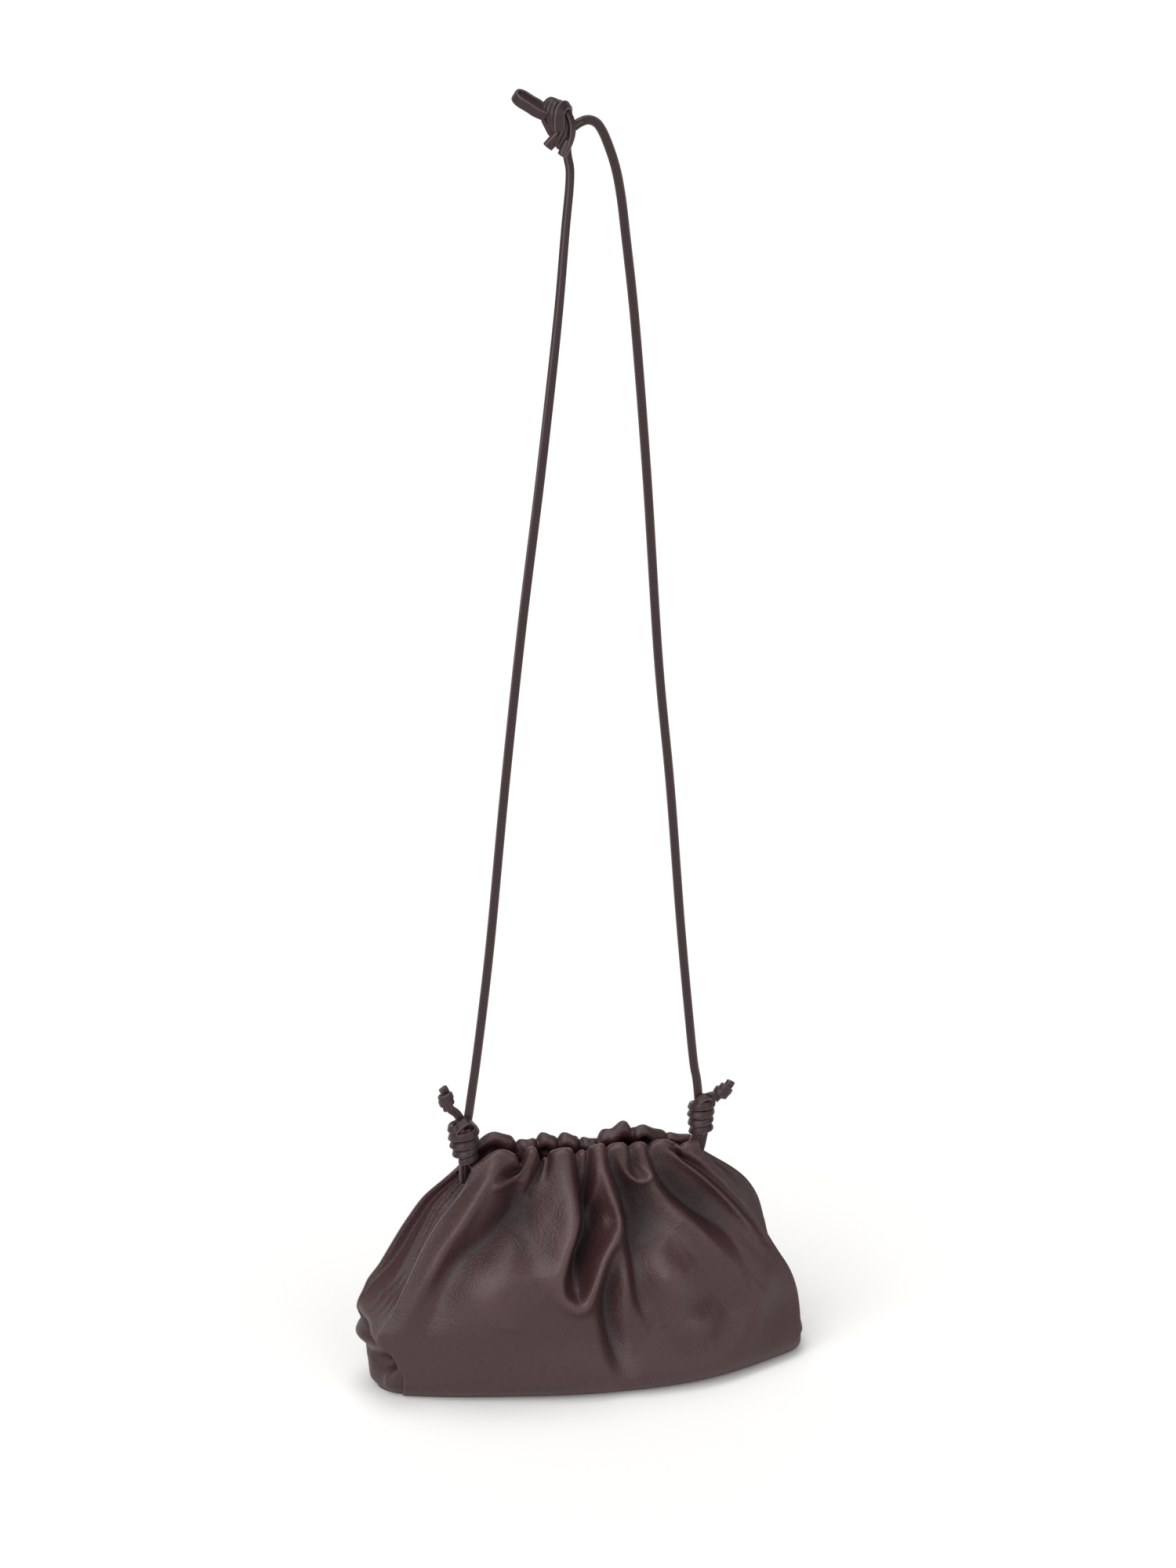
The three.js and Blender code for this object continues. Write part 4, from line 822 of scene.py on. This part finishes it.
def makeGusset(name, end):
    share, up = np.meshgrid(np.linspace(0, 1, gusset["columns"]),
                            np.linspace(0, gusset["top"], gusset["rows"]))
    skin, inner = gussetPlace(end, share, up, 0), gussetPlace(end, share, up, gusset["wall"])
    rings = np.concatenate([skin, inner[:, ::-1]], 1)
    rows, around = rings.shape[:2]
    c = np.arange(gusset["columns"] - 1)
    lowEnd = np.stack([c, around - 1 - c, around - 2 - c, c + 1], 1)
    highEnd = (lowEnd + (rows - 1) * around)[:, ::-1]
    part = {"points": rings.reshape(-1, 3), "faces": np.vstack([ringFaces(rows, around), lowEnd, highEnd])}
    makePiece(name + "Gusset", [part], "body_leather", name + "_gusset")


base = {"reach": 0.95, "endShare": (0.3, 0.7), "columns": 60, "endColumns": 12,
        # the rounded edge: inset and height in mm
        "edge": [(0.9, 0), (0.25, 0.3), (0, 1), (0, 1.6), (0.25, 2.2), (0.9, 2.4)]}


def makeBase():
    across = np.linspace(-base["reach"], base["reach"], base["columns"])
    share = np.linspace(*base["endShare"], base["endColumns"])
    room, ground = pouch["wall"] + pouch["seam"], np.zeros_like(across)
    sides = {side: smoothPlace(across, ground, side) - outward(across, ground, side) * room
             for side in (-1, 1)}
    ends = {end: gussetPlace(end, share, np.zeros_like(share), gusset["wall"] + 2 * pouch["seam"])
            for end in (-1, 1)}
    outline = np.vstack([sides[-1], ends[1], sides[1][::-1], ends[-1][::-1]])
    outline[:, 2] = 0
    middle = outline.mean(0)
    rings = []
    for inset, height in base["edge"]:
        ring = outline - unit(outline - middle) * inset
        ring[:, 2] = height
        rings.append(ring)
    around = len(outline)
    part = {"points": np.vstack(rings), "faces": ringFaces(len(rings), around),
            "caps": ringCaps(len(rings), around)}
    makePiece("basePanel", [part], "body_leather", "base_panel")


makeGusset("left", -1)
makeGusset("right", 1)
makeBase()
print("ends and base ready")


endKnots = {
    # cords: width, thickness, depth of the middle groove and of the edge lines
    "winding": (4, 2.8, 0, 0.36), "bight": (4.4, 2.8, 0, 0.3), "anchor": (4.4, 2.6, 0.2, 0.2),
    "tail": (4.5, 3, 0.25, 0.18), "wrap": (3.8, 2.6, 0, 0.3), "cutEnd": (4.8, 3, 0.2, 0.2),
    "anchorReach": 3.6, "anchorSpread": (1.8, 1.6),  # how far out its bend and its ends lie
    # a barrel's winding: its start above the foot, how much shorter than the barrel it is, how unevenly it
    # climbs and lies, how far its two ends dip in, and how its flat side slants
    "windFrom": 2.2, "windSpare": 4.2, "windUneven": (0.25, 0.4), "windDips": (2.6, 2.2),
    "windSlant": (0.4, 0.14),
    "coreFrom": 1.2, "coreSpare": 4, "coreInset": 2.9, "coreSize": ([0, 0.8, 1], [0.62, 1, 1]),
    "lipDrop": 2.2,
    # the loop over the barrel's top: places to the east, to the north and up
    "hump": [(-4.6, -3, -2), (-2, -4.4, 1.6), (1.8, -3.8, 2.8), (5, -1, -1)],
    "stopperTurns": (-0.4, 2 * math.pi * 1.55), "stopperRadius": 3.0, "stopperPitch": 4.6, "stopperDip": 1.2,
    "stopperCore": 2.6, "stopperCoreHalf": 3.4,
    "stopperCoreSize": [0.6, 0.8, 0.95, 1, 1, 1, 1, 1, 1, 0.95, 0.8, 0.6],
    # the two ends out of a stopper: how they face, then places along its aim and beside it
    "stopperEnds": [(0.3, [(1.5, 0.6), (4.4, 0.9), (6.3, 0.7)]),
                    (-0.3, [(-1.5, -0.4), (-4.2, -0.9), (-6, -1.2)])],
    "left": {"foot": (-61, 0, 118.4), "lean": -0.1, "length": 24.4, "turns": 4.3, "start": 2.6,
             "topRadius": 7.9, "footRadius": 6.1, "bar": (-57.6, 0, 104),
             "tail": [[-62.6, 0.2, 139.5], [-64.4, 0.4, 144], [-66.3, 0.6, 147],
                      [-69.4, 0.3, 149.8], [-70.4, 0.3, 152]],
             "stopper": (-71.6, 0.3, 155.4), "aim": (-0.35, 0, 0.94)},
    "right": {"foot": (64.3, 0, 119.4), "lean": 0.02, "length": 22.4, "turns": 4, "start": 1.2,
              "topRadius": 6.9, "footRadius": 6.2, "bar": (56.4, 0, 104),
              "tail": [[64.9, -0.2, 137], [66.8, -0.8, 140.6], [69.6, -0.9, 141.4],
                       [72.4, -0.7, 141.6], [74, -0.6, 142]],
              "stopper": (76, -0.6, 143.6), "aim": (0.6, 0, 0.8)},
}


def cordAlong(route, facing, kind):
    return sweep(route, facing, flatSection(*endKnots[kind]))


def windBarrel(side):
    own, length = endKnots[side], endKnots[side]["length"]
    axis = np.array([math.sin(own["lean"]), 0, math.cos(own["lean"])])
    east = np.array([math.cos(own["lean"]), 0, -math.sin(own["lean"])])
    north = np.cross(axis, east)
    (unevenUp, unevenOut), (dipIn, dipOut) = endKnots["windUneven"], endKnots["windDips"]
    slant, slantSway = endKnots["windSlant"]
    share = np.linspace(0, 1, 340)
    turn = own["start"] + 2 * np.pi * own["turns"] * share
    height = endKnots["windFrom"] + (length - endKnots["windSpare"]) * share + unevenUp * np.sin(turn * 1.7)
    outer = own["footRadius"] + (own["topRadius"] - own["footRadius"]) * ease(0, 0.8, share)
    inward = dipIn * (1 - ease(0, 0.06, share)) + dipOut * ease(0.95, 1, share)
    radius = outer - endKnots["winding"][1] / 2 - inward
    radius += unevenOut * np.sin(turn * 0.83 + 1) * (1 - share * 0.5)
    spoke = east * np.cos(turn)[:, None] + north * np.sin(turn)[:, None]
    foot = np.array(own["foot"], float)
    band = cordAlong(foot + axis * height[:, None] + spoke * radius[:, None],
                     spoke + axis * (slant + slantSway * np.sin(turn * 1.3))[:, None], "winding")
    corePath = foot + axis * np.linspace(endKnots["coreFrom"], length - endKnots["coreSpare"], 24)[:, None]
    coreSize = np.interp(np.linspace(0, 1, 24), *endKnots["coreSize"])
    core = sweep(corePath, east, roundSection(own["topRadius"] - endKnots["coreInset"], 28), coreSize)
    lip = foot + axis * (length - endKnots["lipDrop"])
    hump = smoothRoute([lip + east * a + north * b + axis * c for a, b, c in endKnots["hump"]], 0.6)
    bight = cordAlong(hump, axis + north * -0.6, "bight")
    makePiece(side + "BarrelKnot", [core, band, bight], "cord_leather", side + "_barrel_knot")


def makeAnchor(side):
    own, reach = endKnots[side], endKnots["anchorReach"]
    foot, bar = np.array(own["foot"], float), np.array(own["bar"], float)
    out, rise = endKnots["anchorSpread"]
    middle = (foot + bar) / 2
    bend = [bar + [reach * math.cos(t), 0, reach * math.sin(t)] for t in np.linspace(math.pi, 2 * math.pi, 9)]
    route = smoothRoute([foot + [-out, 0, rise], middle + [-reach, 0, 0], *bend, middle + [reach, 0, 0],
                         foot + [out, 0, rise]], 0.7)
    way = foot - bar
    share = np.clip(((route - bar) @ way) / (way @ way), 0, 1)
    flat = ease(0.15, 0.5, share)[:, None]  # the band twists to show its flat side above the bar
    facing = unit(unit(route - (bar + way * share[:, None])) * (1 - flat) + np.array([0, -1, 0.2]) * flat)
    loop = cordAlong(route, facing, "anchor")
    makePiece(side + "AnchorLoop", [loop], "cord_leather", side + "_anchor_loop")


def makeTail(side):
    tail = cordAlong(smoothRoute(endKnots[side]["tail"], 0.6), (0.1, -1, 0.1), "tail")
    makePiece(side + "Tail", [tail], "cord_leather", side + "_tail")


def makeStopper(side):
    own = endKnots[side]
    aim = unit(np.array(own["aim"], float))
    centre = np.array(own["stopper"], float)
    north = np.array([0, 1.0, 0])
    east = np.cross(north, aim)
    turn = np.linspace(*endKnots["stopperTurns"], 150)
    spoke = east * np.cos(turn)[:, None] - north * np.sin(turn)[:, None]
    share = turn / turn[-1]
    wave = (share - 0.5) * endKnots["stopperPitch"] + 0.7 * np.sin(turn + 0.6)
    dip, half = endKnots["stopperDip"], endKnots["stopperCoreHalf"]
    radius = endKnots["stopperRadius"] - dip * (1 - ease(-0.05, 0.12, share)) - dip * ease(0.88, 1, share)
    wrap = cordAlong(centre + aim * wave[:, None] + spoke * radius[:, None], spoke, "wrap")
    core = sweep(centre + aim * np.linspace(-half, half, 12)[:, None], east,
                 roundSection(endKnots["stopperCore"], 16), endKnots["stopperCoreSize"])
    ends = [cordAlong(smoothRoute([centre + aim * a + east * b for a, b in path], 0.5),
                      north * -1 + east * lean, "cutEnd") for lean, path in endKnots["stopperEnds"]]
    makePiece(side + "StopperKnot", [core, wrap, *ends], "cord_leather", side + "_stopper_knot")


for side in ("left", "right"):
    windBarrel(side)
    makeAnchor(side)
    makeTail(side)
    makeStopper(side)
print("end knots ready")


topKnot = {
    "centre": (-12.4, 0, 649.6),
    # each cord of the knot: its width, its thickness and its places
    "cords": [
        (2.3, 2.2, [-12.4, 0.5, 657.5], [-15, -1.5, 658.5], [-17.6, -3, 657.5], [-19.4, -4, 654.3],
         [-19.8, -4.5, 650.2], [-18, -4.8, 646], [-16.4, -5, 643], [-14.6, -5.4, 641.4]),
        (2.2, 2.2, [-11.7, -0.5, 657.2], [-14.4, -2.8, 657.9], [-16.8, -4.8, 655.9], [-18, -6, 652.3],
         [-17.3, -6.4, 648.5], [-15.9, -6.2, 645], [-14, -6, 642]),
        (2.2, 2.2, [-11.1, -1.4, 656.6], [-13.6, -4.2, 656.9], [-15.5, -6.4, 654.6], [-16.4, -7.6, 651.2],
         [-15.6, -7.6, 647.2], [-14.6, -7.2, 644.4], [-13, -6.6, 641.8]),
        (5.2, 3.4, [-7, 2, 650.6], [-6.6, 0, 653.7], [-8.1, -3.8, 655.4], [-10.7, -6.6, 655.5],
         [-12.9, -9, 653.7], [-13.6, -9.8, 650.2], [-13.2, -8.8, 646.2], [-12.4, -6, 642.8]),
        (3.8, 3, [-9.3, -4, 653.7], [-8, -6.8, 651.2], [-6.9, -7.6, 647.5], [-6.7, -7.4, 643.6],
         [-7.5, -7, 639.6], [-9.2, -6.8, 635.6], [-11, -6.6, 632.4]),
        (1.7, 1.8, [-11.2, -6.4, 651.8], [-10.7, -7.8, 647.5], [-12, -9, 643.9], [-13.6, -8.4, 640.6],
         [-14.4, -7.4, 637.4]),
        (1.7, 1.8, [-9.7, -6.4, 650.6], [-9.2, -7.6, 646.8], [-10.2, -8.4, 643.1], [-12, -7.8, 639.4],
         [-13.2, -7, 636.2]),
        (5.6, 3, [-12.5, -6.5, 644], [-14, -7.4, 641.8], [-16, -7, 639.6], [-18.2, -6.4, 637]),
        (5.2, 3, [-8.6, -6.4, 639.4], [-10, -6.6, 636], [-11.4, -6.6, 633]),
        (4.6, 3, [-10, 3, 645], [-6.2, 1, 645.6], [-3, 0, 646.5], [0, 0, 647.8]),
        (4.8, 2.8, [-18, -1, 649.1], [-16.5, 4, 647.9], [-12, 7, 649.1], [-7.4, 4.6, 650.2],
         [-5.8, -0.5, 649.1], [-7, -4, 646.8]),
        (4.8, 2.8, [-17.6, 0, 652.9], [-14, 6, 652.6], [-9, 6.4, 652.5], [-6.2, 1.5, 652.2],
         [-7, -3, 652.9]),
        (4.8, 2.8, [-18.6, 3, 652.9], [-15.2, 1, 655.7], [-10.5, 3, 656], [-7.4, 3, 653.7]),
    ],
    "core": {"radius": 5, "from": (-13.4, -0.6, 642), "to": (-10.2, 0.5, 653)},
}
hanger = {"roll": 0.3, "dip": 0.55, "turn": -0.28, "reach": 5.2, "wall": 1.5, "arm": 9.8, "pinch": 0.85,
          "width": 5.2}


def makeTopKnot():
    centre = np.array(topKnot["centre"], float)
    parts = []
    for width, thick, *path in topKnot["cords"]:
        route = smoothRoute(path, 0.6)
        facing = unit(route - centre + np.array([0, -1.5, 0]) * (route[:, 1:2] < 0))
        parts.append(sweep(route, facing, flatSection(width, thick, 0, 0.16 if width > 3 else 0)))
    core = topKnot["core"]
    low, high = np.array(core["from"], float), np.array(core["to"], float)
    line = low + (high - low) * np.linspace(0, 1, 16)[:, None]
    size = np.sin(np.linspace(0.5, math.pi - 0.5, 16)) ** 0.6
    parts.append(sweep(line, (1, 0, 0), roundSection(core["radius"], 24), size))
    makePiece("topKnot", parts, "cord_leather", "top_knot")


def makeHanger():
    arm, wall = hanger["arm"], hanger["wall"]
    radius, pinch = hanger["reach"] - wall / 2, hanger["reach"] * hanger["pinch"] - wall / 2
    bend = [[radius * math.cos(t), radius * math.sin(t), 0]
            for t in np.linspace(math.pi / 2, 1.5 * math.pi, 13)]
    arms = [(arm + 3, pinch * 0.8), (arm * 0.8, pinch * 1.25), (arm * 0.4, radius * 0.97)]
    local = smoothRoute([*([x, y, 0] for x, y in arms), *bend, *([x, -y, 0] for x, y in arms[::-1])], 0.5)
    facing = np.cross(np.gradient(local, axis=0), [0, 0, 1])
    turn = np.array(Matrix.Rotation(hanger["turn"], 3, "Z") @ Matrix.Rotation(hanger["dip"], 3, "Y")
                    @ Matrix.Rotation(hanger["roll"], 3, "X"))
    centre = hook + turn @ np.array([hanger["reach"] - wall, 0, 0])
    band = sweep(local @ turn.T + centre, facing @ turn.T, flatSection(hanger["width"], wall, 0, 0.1))
    makePiece("hangingLoop", [band], "cord_leather", "hanging_loop")


makeTopKnot()
makeHanger()
for name in ("left_strap_bar", "right_strap_bar"):
    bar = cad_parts[name]
    bar.data.materials.clear()
    bar.data.materials.append(metalSkin)
print("top knot ready")


studio = {"floor": (0.93, 0.927, 0.912), "floorReach": 16000, "floorRise": 8000, "floorBend": 3000,
          "world": (1.0, 0.995, 0.985), "worldStrength": 0.25,
          "key": {"turn": -48, "tilt": 38, "spread": 62, "strength": 2.15},
          "fill": {"turn": 30, "tilt": 28, "spread": 50, "strength": 0.7},
          "top": {"turn": 172, "tilt": 79, "spread": 36, "strength": 1.05}}


def makeFloor():
    reach, rise, radius = studio["floorReach"], studio["floorRise"], studio["floorBend"]
    profile = [(-reach, 0), (reach - radius, 0)]
    profile += [(reach - radius + radius * math.sin(t), radius - radius * math.cos(t))
                for t in np.linspace(0.1, math.pi / 2, 14)]
    profile += [(reach, rise)]
    points = [(x, y, z) for y, z in profile for x in (-reach * 1.5, reach * 1.5)]
    faces = [(2 * i, 2 * i + 1, 2 * i + 3, 2 * i + 2) for i in range(len(profile) - 1)]
    mesh = bpy.data.meshes.new("floor")
    mesh.from_pydata(inFrame(points).tolist(), [], faces)
    smoothShade(mesh)
    paper = Finish("paleFloor")
    mesh.materials.append(paper.finishWith(Base_Color=(*studio["floor"], 1), Roughness=0.8,
                                           Specular_IOR_Level=0.1))
    floor = addObject("floor", mesh)


def addLight(name, turn, tilt, spread, strength):  # a far light: turn from the front, tilt above the floor
    data = bpy.data.lights.new(name, "SUN")
    data.energy, data.angle = strength, math.radians(spread)
    turned = Matrix.Rotation(math.radians(turn), 4, "Z")
    addObject(name, data).matrix_world = turned @ Matrix.Rotation(math.radians(90 - tilt), 4, "X")


def lightStudio():
    world = bpy.data.worlds.new("studio")
    world.use_nodes = True
    glow = world.node_tree.nodes["Background"]
    glow.inputs["Color"].default_value = (*studio["world"], 1)
    glow.inputs["Strength"].default_value = studio["worldStrength"]
    bpy.context.scene.world = world
    for name in ("key", "fill", "top"):
        addLight(name, **studio[name])
    bpy.context.scene.view_settings.view_transform = "Standard"


makeFloor()
lightStudio()
print("studio ready")
